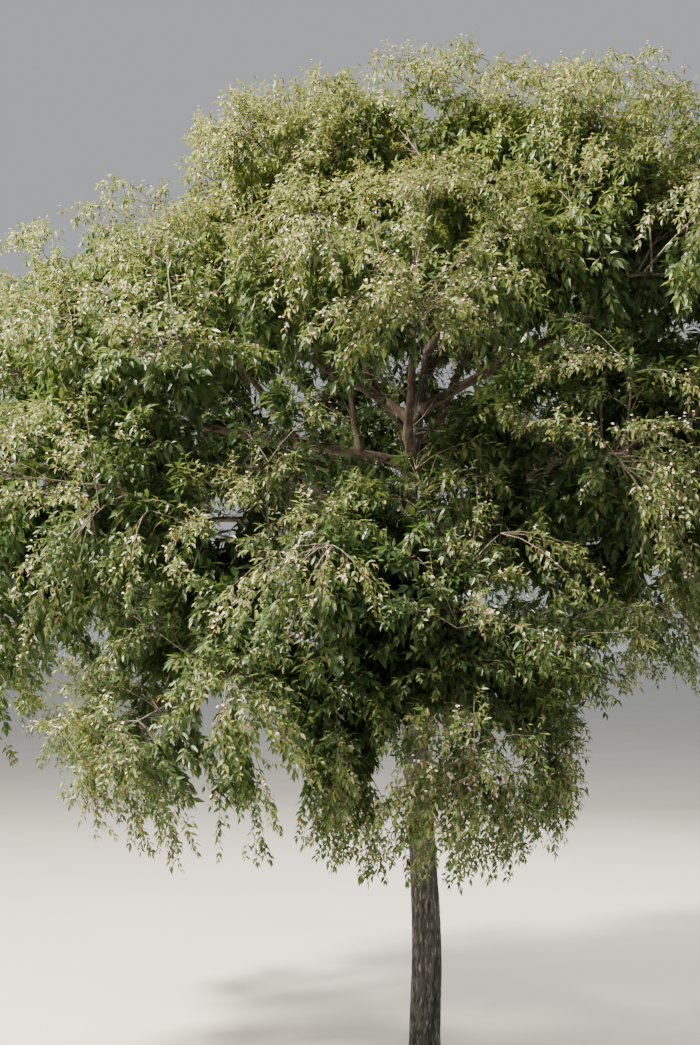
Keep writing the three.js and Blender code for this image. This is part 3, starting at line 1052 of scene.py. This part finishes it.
@dataclass
class Boughs:
    """All boughs, each one tapering limb from the trunk or from the bough that carries it."""

    trunk: Trunk
    spaces: list[Space]
    fork_share: float = 0.86
    entry: float = 0.86
    last_stretch: float = 0.72
    samples: int = 200
    sway: float = 9 * MM
    seed_step: int = 7
    skin: LimbSkin = LimbSkin(14, step=24 * MM, fissure=12 * MM, stretch=70 * MM, depth=3 * MM, seed=200)

    def __post_init__(self) -> None:
        """Lays each bough out from its parent to its foliage."""
        self.by_name: dict[str, Bough] = {}
        for space in self.spaces:
            if not space.plan.onward:
                self.by_name[space.plan.name] = self.laid(space)

    def laid(self, space: Space) -> Bough:
        """One bough, from its parent's middle line to the entry of its mass.

        Args:
            space: the mass's space.

        Returns:
            The bough.
        """
        plan = space.plan
        kind = SIDE if plan.on else MAIN
        parent = self.by_name[plan.on] if plan.on else self.trunk
        share = plan.at if plan.on else self.trunk.share_at(plan.start * MM)
        start = parent.course.at(share)
        lift = plan.lift * float(np.linalg.norm(start - space.middle))
        bend = (start + space.middle) / 2 + UP * lift
        apart = bend - space.middle
        arrival = unit(apart)
        inner = space.reach(space.middle, arrival[None])[0] * self.entry
        inner = min(inner, float(np.linalg.norm(apart)) * self.last_stretch)
        end = space.middle + arrival * inner
        course = Course(bezier(start[None], bend[None], end[None], self.samples)[0])
        radius = min(kind.base / 2, parent.radius_at(share) * self.fork_share)
        return Bough(space, course, kind, radius, kind.tip / 2)

    def build(self) -> list[bpy.types.Object]:
        """Builds the main boughs and the side boughs, a piece each.

        Returns:
            The two pieces.
        """
        made = []
        finish = LIMB_BARK.make()
        for kind in (MAIN, SIDE):
            stock = MeshStock()
            chosen = [bough for bough in self.by_name.values() if bough.kind is kind]
            for number, bough in enumerate(chosen):
                seed = self.skin.seed + number * self.seed_step + kind.sides
                skin = replace(self.skin, sides=kind.sides, seed=seed)
                skin.lay(stock, bough.course, bough, self.sway)
            piece = stock.piece(kind.piece, finish)
            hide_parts(*(f"bough_{bough.space.plan.name}" for bough in chosen))
            made.append(dressed(piece, stock))
        return made


def dressed(piece: bpy.types.Object, stock: MeshStock) -> bpy.types.Object:
    """Fixes a piece to the tree and reports it.

    Args:
        piece: the piece.
        stock: what it was made from.

    Returns:
        The same piece.
    """
    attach(piece, "root")
    log.info("%s: %d triangles", piece.name, stock.triangles())
    return piece


def standing_for_masses(
    piece: bpy.types.Object, stock: MeshStock, spaces: list[Space]
) -> bpy.types.Object:
    """Puts a piece of the crown in the place of the solids' masses, and dresses it.

    Args:
        piece: the piece.
        stock: what it was made from.
        spaces: the spaces of all masses.

    Returns:
        The same piece.
    """
    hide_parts(*(f"foliage_{space.plan.name}" for space in spaces))
    return dressed(piece, stock)


# ---- foliage


@dataclass
class ShootRows:
    """Leafy shoots, a row for each."""

    lines: Array
    sun: Array
    depth: Array
    spray: Array
    outward: Array


@dataclass
class Growth:
    """What the finer growth of all masses is gathered in."""

    stems: list[tuple[Array, tuple[float, float]]] = field(default_factory=list)
    leaders: list[Array] = field(default_factory=list)
    twigs: list[Array] = field(default_factory=list)
    inner: list[Array] = field(default_factory=list)
    inner_sides: list[Array] = field(default_factory=list)
    shoots: list[ShootRows] = field(default_factory=list)
    sprays: int = 0

    def all_shoots(self) -> ShootRows:
        """All shoots in one set of rows."""
        columns = ([getattr(rows, column.name) for rows in self.shoots] for column in fields(ShootRows))
        return ShootRows(*(np.concatenate(column) for column in columns))


@dataclass
class Shade:
    """How deep inside the crown a place lies, and how much sun it gets."""

    spaces: list[Space]
    steps: tuple[float, ...] = (0.15, 0.3, 0.45, 0.6, 0.75, 0.9)
    stride: tuple[float, float] = (0.75, 0.5)  # least and spread
    no_wall: float = 99.0
    sunward: tuple[float, float, float] = (-0.15, -0.2, 0.95)
    open_share: float = 0.5

    def depth(self, points: Array, random: np.random.Generator) -> Array:
        """How deep points lie, from 0 at the crown's outside to 1 far inside.

        Args:
            points: the points, (n, 3).
            random: the source of chance.

        Returns:
            A share for each point, from the foliage that lies further out from the crown's heart.
        """
        outward = unit(points - Space.heart)
        stride = varied(random, *self.stride, len(points))
        deepest = np.zeros(len(points))
        for step in self.steps:
            further = points + outward * (step * stride)[:, None]
            covered = np.any([space.holds(further, self.no_wall) for space in self.spaces], axis=0)
            deepest[covered] = step
        return deepest / self.steps[-1]

    def sun(self, points: Array, depth: Array) -> Array:
        """How sunny places at some depth are, from 0 to 1, most on the crown's upper outside.

        Args:
            points: the places, (n, 3).
            depth: how deep each lies, from 0 to 1.

        Returns:
            One number for each place.
        """
        facing = unit(points - Space.heart) @ unit(np.array(self.sunward))
        lit = np.clip(0.5 + 0.5 * facing, 0, 1)
        return (1 - depth) * self.open_share + (1 - self.open_share) * lit


@dataclass(frozen=True)
class ShownLimb:
    """A stretch of limb, by shares of its length, that shows through an opening in the leaves."""

    limb: str
    first: float
    last: float
    half_width: float


@dataclass
class Openings:
    """The openings, seen from where the photograph was taken, in which the leaves are thinner."""

    boughs: Boughs
    shown: tuple[ShownLimb, ...] = (
        ShownLimb("left", 0.12, 0.98, 0.1),
        ShownLimb("trunk", 0.73, 0.81, 0.08),
    )
    samples: int = 24
    thinning: float = 0.72

    def hold(self, points: Array) -> Array:
        """Which points stand between a shown stretch of limb and the photograph's place.

        Args:
            points: the points, (n, 3).

        Returns:
            True for each point that does.
        """
        found = np.zeros(len(points), dtype=bool)
        for stretch in self.shown:
            course = self.boughs.by_name.get(stretch.limb, self.boughs.trunk).course
            for place in course.at(np.linspace(stretch.first, stretch.last, self.samples)):
                sight = unit(np.array(PHOTO_PLACE) - place)
                ahead = (points - place) @ sight
                aside = np.linalg.norm(points - place - ahead[:, None] * sight, axis=1)
                found |= (ahead > 0) & (aside < stretch.half_width)
        return found


@dataclass
class Leaders:
    """The leading twigs of each mass, by the solids' own rule and numbers."""

    core_draws: int = 42
    count: int = 6
    cap: float = math.radians(98)
    jitter: float = 0.25
    tip: float = 0.8
    spread_back: float = 0.55
    arch: float = 0.1
    samples: int = 9
    radii: tuple[float, float] = (7.5 * MM, 2.6 * MM)  # first and last
    sides: int = 6

    def directions(self, space: Space, numbers: SeededNumbers) -> Array:
        """The solids' own twig directions: spread evenly over the upper side and the rim of a mass.

        Args:
            space: the mass's space.
            numbers: the mass's own run of numbers.

        Returns:
            A unit direction for each leader.
        """
        turn = numbers.next() * FULL_TURN
        rows = []
        for i in range(self.count):
            height = 1 - ((i + 0.5) / self.count) * (1 - math.cos(self.cap))
            level = math.sqrt(1 - height * height)
            angle = turn + GOLDEN_ANGLE * i + (numbers.next() - 0.5) * 2 * self.jitter
            rows.append([level * math.cos(angle), level * math.sin(angle), height])
        axis = unit(np.cross(UP, space.rise))
        lean = math.acos(float(np.clip(UP @ space.rise, -1, 1)))
        directions = np.array(rows)
        return turned(directions, np.broadcast_to(axis, directions.shape), np.full(len(rows), lean))

    def grow(self, space: Space, start: Array, seed: int) -> Array:
        """Grows the leaders of one mass.

        Args:
            space: the mass's space.
            start: the foot of its stem.
            seed: the solids' seed for this mass.

        Returns:
            Their middle lines.
        """
        numbers = SeededNumbers(seed)
        for _ in range(self.core_draws):
            numbers.next()
        hub = space.middle
        directions = self.directions(space, numbers)
        reach = space.reach(hub, directions)
        tips = hub + directions * (reach * self.tip)[:, None]
        roots = hub - (hub - start) * np.linspace(0.0, self.spread_back, self.count)[:, None]
        bends = (roots + tips) / 2 + space.rise * (self.arch * reach)[:, None]
        return bezier(roots, bends, tips, self.samples)


@dataclass
class Twigs:
    """Twigs that arch from the leaders to places spread evenly over the dome of a mass.

    A share of them ends further inside. Near another mass, where a wall cuts the dome, a few are left out.
    """

    count: int = 144
    cap: float = 0.7
    jitter: float = 0.7
    inner_share: float = 0.26
    inner_reach: tuple[float, float] = (0.5, 0.3)  # least and spread
    outer_reach: tuple[float, float] = (0.8, 0.18)  # least and spread
    walled_below: float = 0.86
    walled_kept: float = 0.8
    shortest: float = 0.3
    short_penalty: float = 3.0
    outgoing: float = 0.25
    backward_penalty: float = 1.5
    arch: float = 0.24
    arch_upright: float = 0.7
    arch_rising: float = 0.3
    samples: int = 5
    radii: tuple[float, float] = (3.4 * MM, 1.5 * MM)  # first and last

    def tips(self, space: Space, random: np.random.Generator) -> tuple[Array, Array]:
        """Where twigs of a mass end.

        Args:
            space: the mass's space.
            random: the source of chance.

        Returns:
            Unit directions from the mass's middle, and distances.
        """
        count = round(self.count * space.plan.leafy)
        i = np.arange(count) + 0.5
        height = 1 - i / count * (1 + self.cap)
        level = np.sqrt(1 - height**2)
        angle = random.random() * FULL_TURN + GOLDEN_ANGLE * np.arange(count)
        angle = angle + (random.random(count) - 0.5) * self.jitter
        directions = unit(
            space.out * (level * np.cos(angle) * space.wide)[:, None]
            + space.across * (level * np.sin(angle) * space.wide)[:, None]
            + space.rise * (height * space.tall)[:, None]
        )
        free = space.reach(space.middle, directions)
        inner = random.random(count) < self.inner_share
        share = np.where(
            inner, varied(random, *self.inner_reach, count), varied(random, *self.outer_reach, count)
        )
        walled = free < space.rounded_reach(directions) * self.walled_below
        kept = ~walled | (random.random(count) < self.walled_kept)
        return directions[kept], (free * share)[kept]

    def grow(self, space: Space, carriers: Array, random: np.random.Generator) -> Array:
        """Grows the twigs of one mass, each from the place that suits it best.

        Args:
            space: the mass's space.
            carriers: points on the stem and the leaders, (n, 3).
            random: the source of chance.

        Returns:
            Their middle lines.
        """
        directions, distances = self.tips(space, random)
        ends = space.middle + directions * distances[:, None]
        ways = ends[:, None] - carriers[None]
        apart = np.linalg.norm(ways, axis=2)
        outgoing = np.einsum("nkc,nc->nk", ways, directions) > self.outgoing * apart
        cost = apart + np.where(apart < self.shortest, self.short_penalty, 0.0)
        cost = cost + np.where(outgoing, 0.0, self.backward_penalty)
        starts = carriers[np.argmin(cost, axis=1)]
        lengths = np.linalg.norm(ends - starts, axis=1)
        over = UP * self.arch_upright + space.rise * self.arch_rising
        bends = (starts + ends) / 2 + over * (self.arch * lengths)[:, None]
        return bezier(starts, bends, ends, self.samples)


@dataclass
class Shoots:
    """Short leafy shoots, whorled round each twig and close along its outer part."""

    shade: Shade
    openings: Openings
    box: Array
    count: int = 13
    first: float = 0.28
    last: float = 0.97
    jitter: float = 0.06
    onward: float = 0.7
    outward: float = 0.3
    splay: float = 0.95
    splay_lost: float = 0.5
    droop: tuple[float, float] = (0.1, 0.25)  # least and spread
    end_droop: float = 0.3
    straying: float = 0.2
    lengths: tuple[float, float] = (0.1, 0.19)  # shortest and longest
    foot_length: float = 1.1
    length_lost: float = 0.3
    sag: float = 0.16
    samples: int = 5
    radius: float = 1.4 * MM
    past_walls: float = 0.11
    proud: float = 0.11
    shade_thinning: float = 0.6

    def in_box(self, points: Array) -> Array:
        """Which points stand in the solids' box, or at most a little proud of it."""
        lowest, highest = self.box
        return np.all((points > lowest - self.proud) & (points < highest + self.proud), axis=1)

    def whorled(self, middle: Array, twigs: Array, random: np.random.Generator) -> tuple[Array, Array]:
        """Every shoot that twigs could carry.

        Args:
            middle: the middle of their mass.
            twigs: the twigs' middle lines, (n, k, 3).
            random: the source of chance.

        Returns:
            The shoots' middle lines, and the way out of the mass at each.
        """
        count, samples = twigs.shape[:2]
        shares = np.linspace(self.first, 1.0, self.count)[None]
        shares = np.clip(shares + (random.random((count, self.count)) - 0.5) * self.jitter, 0, 1)
        shares[:, -1] = self.last
        spot = shares * (samples - 1)
        low = np.minimum(spot.astype(int), samples - 2)
        part = (spot - low)[..., None]
        row = np.arange(count)[:, None]
        roots = twigs[row, low] * (1 - part) + twigs[row, low + 1] * part
        ahead = unit(twigs[row, low + 1] - twigs[row, low])
        outward = unit(roots - middle)
        turn = GOLDEN_ANGLE * np.arange(self.count)[None] + random.random((count, 1)) * FULL_TURN
        side = turned(level_beside(ahead), ahead, turn)
        direction = unit(
            ahead * self.onward
            + side * (self.splay - self.splay_lost * shares[..., None])
            + outward * self.outward
            - UP * varied(random, *self.droop, (count, self.count, 1))
            + random.normal(size=(count, self.count, 3)) * self.straying
        )
        direction[:, -1] = unit(ahead[:, -1] - UP * self.end_droop)
        shortest, longest = self.lengths
        length = varied(random, shortest, longest - shortest, (count, self.count))
        length = length * (self.foot_length - self.length_lost * shares)
        tips = roots + direction * length[..., None] - UP * (self.sag * length)[..., None]
        starts, ends = roots.reshape(-1, 3), tips.reshape(-1, 3)
        return bezier(starts, (starts + ends) / 2, ends, self.samples), outward.reshape(-1, 3)

    def grow(self, space: Space, twigs: Array, sprays: int, random: np.random.Generator) -> ShootRows:
        """Grows the shoots of one mass, fewer in deep shade and in the openings.

        Args:
            space: the mass's space.
            twigs: the twigs' middle lines, (n, k, 3).
            sprays: how many sprays there are so far.
            random: the source of chance.

        Returns:
            The shoots' rows.
        """
        lines, outward = self.whorled(space.middle, twigs, random)
        tips = lines[:, -1]
        held = space.holds(tips, self.past_walls) & self.in_box(tips)
        depth = self.shade.depth(tips, random)
        held &= random.random(len(tips)) > self.shade_thinning * depth
        opening = self.openings.hold(lines[:, self.samples // 2])
        held &= ~opening | (random.random(len(tips)) > self.openings.thinning)
        sun = self.shade.sun(tips, depth)
        spray = sprays + np.repeat(np.arange(len(twigs)), self.count)
        return ShootRows(lines[held], sun[held], depth[held], spray[held], outward[held])


@dataclass
class InnerTwigs:
    """Fine, nearly bare twigs that stand on a bough inside the crown, with a few leafy side shoots."""

    first_seed: int = 900
    per_metre: float = 11.0
    first: float = 0.12
    stretch: float = 0.85
    lengths: tuple[float, float] = (0.18, 0.6)  # shortest and longest
    shortness: float = 1.5
    onward: float = 0.55
    rise: tuple[float, float] = (0.35, 0.7)  # steepest, and how far below it
    end_straying: float = 0.04
    bend_straying: float = 0.05
    samples: int = 5
    side_length: float = 0.42
    side_onward: float = 0.8
    side_splay: float = 0.8
    side_droop: float = 0.15
    bare_rows: int = 1
    sun: float = 0.3
    depth: float = 0.2
    radii: tuple[float, float] = (3.6 * MM, 1.6 * MM)  # first and last

    def grow(self, bough: Bough, growth: Growth, random: np.random.Generator) -> None:
        """Grows the inner twigs of one bough.

        Args:
            bough: what carries them.
            growth: where they go.
            random: the source of chance.
        """
        count = int(bough.course.length * self.per_metre)
        shares = np.sort(self.first + self.stretch * random.random(count))
        ahead = bough.course.heading(shares)
        starts = bough.course.at(shares)
        side = turned(level_beside(ahead), ahead, random.random(count) * FULL_TURN)
        high, fall = self.rise
        direction = unit(ahead * self.onward + side + UP * (high - fall * random.random((count, 1))))
        shortest, longest = self.lengths
        length = shortest + (longest - shortest) * random.random((count, 1)) ** self.shortness
        ends = starts + direction * length + random.normal(size=(count, 3)) * self.end_straying
        bends = starts + direction * length * 0.5 + random.normal(size=(count, 3)) * self.bend_straying
        twigs = bezier(starts, bends, ends, self.samples)
        growth.inner.append(twigs)
        for row in range(1, self.samples - 1):
            roots = twigs[:, row]
            heading = unit(twigs[:, row + 1] - roots)
            around = turned(level_beside(heading), heading, random.random(count) * FULL_TURN)
            way = unit(heading * self.side_onward + around * self.side_splay - UP * self.side_droop)
            tips = roots + way * length * self.side_length
            growth.inner_sides.append(np.stack([roots, tips], axis=1))
            if row > self.bare_rows:
                lines = bezier(roots, (roots + tips) / 2, tips, self.samples)
                sun, depth = np.full(count, self.sun), np.full(count, self.depth)
                spray = np.full(count, growth.sprays)
                growth.shoots.append(ShootRows(lines, sun, depth, spray, unit(tips - Space.heart)))
        growth.sprays += 1


@dataclass
class Crown:
    """All wood and shoots that grow on from the boughs and the trunk's tip."""

    boughs: Boughs
    spaces: list[Space]
    box: Array
    first_seed: int = 101
    stem_samples: int = 6
    stem_taper: float = 0.5
    stem_sides: int = 8
    leaders: Leaders = field(default_factory=Leaders)
    twigs: Twigs = field(default_factory=Twigs)
    inner: InnerTwigs = field(default_factory=InnerTwigs)

    def __post_init__(self) -> None:
        """Grows the twigs and shoots of every mass, then the inner twigs of every bough."""
        self.growth = Growth()
        self.shoots = Shoots(Shade(self.spaces), Openings(self.boughs), self.box)
        for number, space in enumerate(self.spaces):
            self.grow_mass(space, self.first_seed + number)
        for number, bough in enumerate(self.boughs.by_name.values()):
            self.inner.grow(bough, self.growth, np.random.default_rng(self.inner.first_seed + number))

    def grow_mass(self, space: Space, seed: int) -> None:
        """Grows one mass on from the tip of its bough, or of the trunk.

        Args:
            space: the mass's space.
            seed: the solids' seed for this mass.
        """
        random = np.random.default_rng(seed)
        growth = self.growth
        trunk = self.boughs.trunk
        carrier = self.boughs.by_name.get(space.plan.name)
        course = carrier.course if carrier else trunk.course
        radius = carrier.tip if carrier else trunk.radius_at(1.0)
        start = course.at(1.0) - course.heading(1.0) * radius
        hub = space.middle
        stem = bezier(start[None], ((start + hub) / 2)[None], hub[None], self.stem_samples)
        growth.stems.append((stem, (radius, radius * self.stem_taper)))
        leaders = self.leaders.grow(space, start, seed)
        growth.leaders.append(leaders)
        carriers = np.vstack([leaders.reshape(-1, 3), stem[0]])
        twigs = self.twigs.grow(space, carriers, random)
        growth.twigs.append(twigs)
        growth.shoots.append(self.shoots.grow(space, twigs, growth.sprays, random))
        growth.sprays += len(twigs)

    def build(self) -> list[bpy.types.Object]:
        """Builds the twigs and the leafy shoots, a piece each.

        Returns:
            The two pieces.
        """
        growth = self.growth
        wood = MeshStock()
        for stem, radii in growth.stems:
            add_tubes(wood, stem, radii, self.stem_sides)
        add_tubes(wood, np.concatenate(growth.leaders), self.leaders.radii, self.leaders.sides)
        add_tubes(wood, np.concatenate(growth.twigs), self.twigs.radii)
        add_tubes(wood, np.concatenate(growth.inner), self.inner.radii)
        pointed = (self.shoots.radius, 0.0)
        add_tubes(wood, np.concatenate(growth.inner_sides), pointed)
        young = MeshStock()
        add_tubes(young, growth.all_shoots().lines[:, [0, -1]], pointed)
        return [
            standing_for_masses(wood.piece("twigs", TWIG_BARK.make()), wood, self.spaces),
            standing_for_masses(young.piece("shoots", SHOOT_BARK.make()), young, self.spaces),
        ]


@dataclass
class Leaves:
    """Lance-shaped leaves with a drip tip, in opposite pairs along each shoot and one at its end."""

    crown: Crown
    seed: int = 7
    pairs: tuple[float, ...] = (0.2, 0.4, 0.6, 0.78, 0.94)
    lengths: tuple[float, float] = (0.031, 0.053)  # shortest and longest
    width: float = 0.38
    widest: float = 0.42
    fold: float = 0.06
    curl: float = 0.1
    onward: float = 0.6
    droop: tuple[float, float] = (0.15, 0.6)  # least and spread
    splay: tuple[float, float] = (0.75, 0.3)  # least and spread
    straying: float = 0.2
    facing: tuple[float, float, float] = (0.5, 0.9, 0.55)  # outward, up and astray
    end_facing: tuple[float, float, float] = (0.6, 0.8, 0.5)
    first_pair_size: float = 1.04
    size_lost: float = 0.06
    end_size: float = 0.9
    end_droop: float = 0.35
    end_sunk: float = 0.003
    shade_start: float = 0.2
    shade_full: float = 0.6
    shade_growth: float = 1.45
    outer_depth: float = 0.26
    sunny_from: float = 0.66
    sun_weight: float = 0.78
    mood_weight: float = 0.18
    own_weight: float = 0.46
    moss_below: float = 0.66
    grass_below: float = 0.53
    deep_below: float = 0.4
    lime_above: float = 0.82
    # the share of sunny outer leaves dealt the painted sheen tint
    sheen_below: float = 0.11
    bronze_above: float = 0.94
    spent_between: tuple[float, float] = (0.52, 0.523)

    def faced(
        self, outward: Array, weights: tuple[float, float, float], random: np.random.Generator
    ) -> Array:
        """Where the upper faces of leaves look: out of the crown, up and astray, by three weights."""
        out, up, astray = weights
        return outward * out + UP * up + unit(random.normal(size=outward.shape)) * astray

    def rows(self, random: np.random.Generator) -> dict[str, Array]:
        """Where every leaf stands.

        Args:
            random: the source of chance.

        Returns:
            Arrays of roots, directions, upper faces, lengths and tints, a row for each leaf.
        """
        shoots = self.crown.growth.all_shoots()
        lines, outward = shoots.lines, shoots.outward
        count, samples = lines.shape[:2]
        roots, along, faces, sizes = [], [], [], []
        first_turn = random.random(count) * math.pi
        for number, share in enumerate(self.pairs):
            spot = share * (samples - 1)
            low = int(spot)
            root = lines[:, low] + (lines[:, low + 1] - lines[:, low]) * (spot - low)
            ahead = unit(lines[:, low + 1] - lines[:, low])
            side = turned(level_beside(ahead), ahead, first_turn + number * math.pi / 2)
            for hand in (-1, 1):
                droop = varied(random, *self.droop, count)[:, None]
                splay = varied(random, *self.splay, count)[:, None]
                astray = random.normal(size=(count, 3)) * self.straying
                roots.append(root)
                along.append(unit(ahead * self.onward + side * splay * hand - UP * droop + astray))
                sizes.append(np.full(count, self.first_pair_size - self.size_lost * number))
                faces.append(self.faced(outward, self.facing, random))
        ahead = unit(lines[:, -1] - lines[:, -2])
        roots.append(lines[:, -1] - ahead * self.end_sunk)
        along.append(unit(ahead - UP * self.end_droop))
        sizes.append(np.full(count, self.end_size))
        faces.append(self.faced(outward, self.end_facing, random))
        directions = np.concatenate(along)
        shortest, longest = self.lengths
        lengths = varied(random, shortest, longest - shortest, len(directions)) * np.concatenate(sizes)
        depth, sun, spray = (np.tile(row, len(roots)) for row in (shoots.depth, shoots.sun, shoots.spray))
        shaded = np.clip((depth - self.shade_start) / self.shade_full, 0, 1)
        return {
            "roots": np.concatenate(roots),
            "along": directions,
            "faces": square_to(np.concatenate(faces), directions),
            "lengths": lengths * (1 + self.shade_growth * shaded),
            "tints": self.dealt_tints(spray, sun, depth, random),
        }

    def dealt_tints(self, sprays: Array, sun: Array, depth: Array, random: np.random.Generator) -> Array:
        """Deals leaf colours by spray, paler in the sun and deeper in the shade: partly sun and shade
        leaves, partly painted sunlight and painted shade.

        Args:
            sprays: the spray of each leaf.
            sun: how sunny each leaf's place is, from 0 to 1.
            depth: how far inside the crown each stands, from 0 to 1.
            random: the source of chance.

        Returns:
            The number of each leaf's tint, in the order of Tint.
        """
        mood = random.random(self.crown.growth.sprays)[sprays]
        own = random.random(len(sprays))
        # the sun share paints sunlight and shade into the leaf colour
        bright = self.sun_weight * sun + self.mood_weight * mood + self.own_weight * (own - 0.5)
        bright = np.clip(bright, 0, 1)
        odd = random.random(len(sprays))
        outer = depth < self.outer_depth
        sunny = outer & (sun > self.sunny_from)
        first, last = self.spent_between
        order = list(Tint)
        tints = np.full(len(sprays), order.index(Tint.OLIVE))
        for tint, chosen in (
            (Tint.MOSS, bright < self.moss_below),
            (Tint.GRASS, bright < self.grass_below),
            (Tint.DEEP, bright < self.deep_below),
            (Tint.LIME, bright > self.lime_above),
            # painted sheen, only on the sunny outside
            (Tint.PAINTED_SHEEN, sunny & (odd < self.sheen_below)),
            (Tint.BRONZE, sunny & (odd > self.bronze_above)),
            (Tint.SPENT, outer & (odd > first) & (odd < last)),
        ):
            tints[chosen] = order.index(tint)
        return tints

    def add(self, stock: MeshStock, rows: dict[str, Array]) -> None:
        """Adds leaves of two faces each, folded along the midrib.

        Args:
            stock: where they go.
            rows: the leaves' arrays.
        """
        root, along, face = rows["roots"], rows["along"], rows["faces"]
        length = rows["lengths"][:, None]
        half = np.cross(along, face) * (length * self.width / 2)
        fold = face * length * self.fold
        widest = root + along * length * self.widest
        tip = root + along * length - face * length * self.curl
        points = np.stack([root, widest + half + fold, tip, widest - half + fold], axis=1)
        first = (np.arange(len(root)) * 4)[:, None]
        stock.add(points, first + np.array([0, 1, 2]), first + np.array([0, 2, 3]))

    def build(self) -> list[bpy.types.Object]:
        """Builds one piece of leaves for each tint.

        Returns:
            The pieces, in the order of Tint.
        """
        rows = self.rows(np.random.default_rng(self.seed))
        made = []
        for number, tint in enumerate(Tint):
            chosen = rows["tints"] == number
            stock = MeshStock()
            self.add(stock, {name: row[chosen] for name, row in rows.items()})
            piece = stock.piece(f"leaves_{tint.value}", LEAVES[tint].make())
            made.append(standing_for_masses(piece, stock, self.crown.spaces))
        return made


@dataclass
class Blossom:
    """Tiny pale flowers in fours near the ends of sunny shoots, each a five-sided disc."""

    crown: Crown
    seed: int = 23
    sun_from: float = 0.66
    sun_span: float = 0.2
    share: float = 0.68
    cluster: int = 4
    petals: int = 5
    size: float = 6.6 * MM
    sizes: tuple[float, float] = (0.8, 0.5)  # least and spread
    outward: float = 0.6
    tilt: float = 0.6
    back: float = 0.6
    lift: float = 0.02
    straying: float = 0.014
    level_way: tuple[float, float, float] = (1.0, 0.2, 0.0)

    def build(self) -> bpy.types.Object:
        """Builds the blossom's piece.

        Returns:
            The piece.
        """
        random = np.random.default_rng(self.seed)
        shoots = self.crown.growth.all_shoots()
        chance = np.clip((shoots.sun - self.sun_from) / self.sun_span, 0, 1) * self.share
        chosen = np.repeat(np.flatnonzero(random.random(len(chance)) < chance), self.cluster)
        count = len(chosen)
        lines = shoots.lines[chosen]
        tilted = unit(random.normal(size=(count, 3))) * self.tilt
        faces = unit(shoots.outward[chosen] * self.outward + UP + tilted)
        back = random.random((count, 1)) * self.back
        centres = lines[:, -1] * (1 - back) + lines[:, 0] * back + faces * self.lift
        centres = centres + random.normal(size=(count, 3)) * self.straying
        level = unit(np.cross(faces, np.array(self.level_way)))
        size = (self.size * varied(random, *self.sizes, count))[:, None]
        turns = np.arange(self.petals) * FULL_TURN / self.petals
        rims = [centres + turned(level, faces, np.full(count, turn)) * size for turn in turns]
        first = (np.arange(count) * self.petals)[:, None]
        stock = MeshStock()
        stock.add(np.stack(rims, axis=1), first + np.arange(self.petals))
        piece = stock.piece("blossom", PETALS.make())
        return standing_for_masses(piece, stock, self.crown.spaces)


# ---- studio


@dataclass(frozen=True)
class Lamp:
    """One soft square lamp, in metres and watts."""

    name: str
    place: tuple[float, float, float]
    size: float
    watts: float
    colour: str

    def hang(self, aim: tuple[float, float, float]) -> None:
        """Hangs the lamp, turned to what it lights.

        Args:
            aim: the point that it is turned to.
        """
        light = bpy.data.lights.new(self.name, "AREA")
        light.shape = "SQUARE"
        light.size = self.size
        light.energy = self.watts
        light.color = linear(self.colour)[:3]
        lamp = bpy.data.objects.new(self.name, light)
        lamp.location = self.place
        towards = Vector(aim) - Vector(self.place)
        lamp.rotation_euler = towards.to_track_quat("-Z", "Y").to_euler()
        bpy.context.scene.collection.objects.link(lamp)


@dataclass
class Studio:
    """A pale floor, soft lights and the camera at the photograph's angle."""

    floor_size: float = 600.0
    floor_drop: float = 1 * MM
    camera_pitch: float = 4.8
    lens: float = 52.4
    sensor: float = 36.0
    aim: tuple[float, float, float] = (0.0, 0.0, 3.6)
    sky: str = "dfe3e6"
    sky_strength: float = 0.58
    lamps: tuple[Lamp, ...] = (
        Lamp("key", (-9.5, -4.5, 14.0), 1.8, 12800.0, "fff3df"),
        Lamp("fill", (9.0, -7.0, 5.0), 6.0, 60.0, "eaf0ff"),
        Lamp("rim", (4.0, 10.0, 10.0), 4.0, 2200.0, "fff6ea"),
    )

    def floor(self) -> None:
        """Lays the floor."""
        half = self.floor_size / 2
        stock = MeshStock()
        corners = np.array([[-half, -half, 0], [half, -half, 0], [half, half, 0], [-half, half, 0]])
        stock.add(corners - UP * self.floor_drop, np.array([[0, 1, 2, 3]]))
        floor = stock.piece("floor", FLOOR_PAINT.make(), smooth=False)

    def sky_light(self) -> None:
        """Sets the even pale light from all round."""
        world = bpy.data.worlds.new("studio_air")
        world.use_nodes = True
        tree = world.node_tree
        tree.nodes.clear()
        light = {"Color": linear(self.sky), "Strength": self.sky_strength}
        air = add_node(tree, "ShaderNodeBackground", light)
        add_node(tree, "ShaderNodeOutputWorld", {"Surface": air})
        bpy.context.scene.world = world

    def camera(self) -> None:
        """Sets the camera up as the photograph was taken."""
        lens = bpy.data.cameras.new("camera")
        lens.lens = self.lens
        lens.sensor_width = self.sensor
        camera = bpy.data.objects.new("camera", lens)
        camera.location = PHOTO_PLACE
        camera.rotation_euler = (math.radians(90 + self.camera_pitch), 0.0, 0.0)
        bpy.context.scene.collection.objects.link(camera)
        bpy.context.scene.camera = camera

    def build(self) -> None:
        """Sets up the whole studio."""
        self.floor()
        self.sky_light()
        for lamp in self.lamps:
            lamp.hang(self.aim)
        self.camera()


def main() -> None:
    """Builds the tree and the studio, and reports each piece."""
    logging.basicConfig(level=logging.INFO, format="%(name)s %(message)s")
    Studio().build()
    trunk = Trunk()
    spaces = [Space(plan, trunk) for plan in PLANS]
    for space, other in permutations(spaces, 2):
        space.wall_off(other)
    trunk.build()
    boughs = Boughs(trunk, spaces)
    boughs.build()
    crown = Crown(boughs, spaces, np.array([list(corner) for corner in cad_box]))
    crown.build()
    Leaves(crown).build()
    Blossom(crown).build()
    log.info("sprays: %d", crown.growth.sprays)


if __name__ == "__main__":
    main()
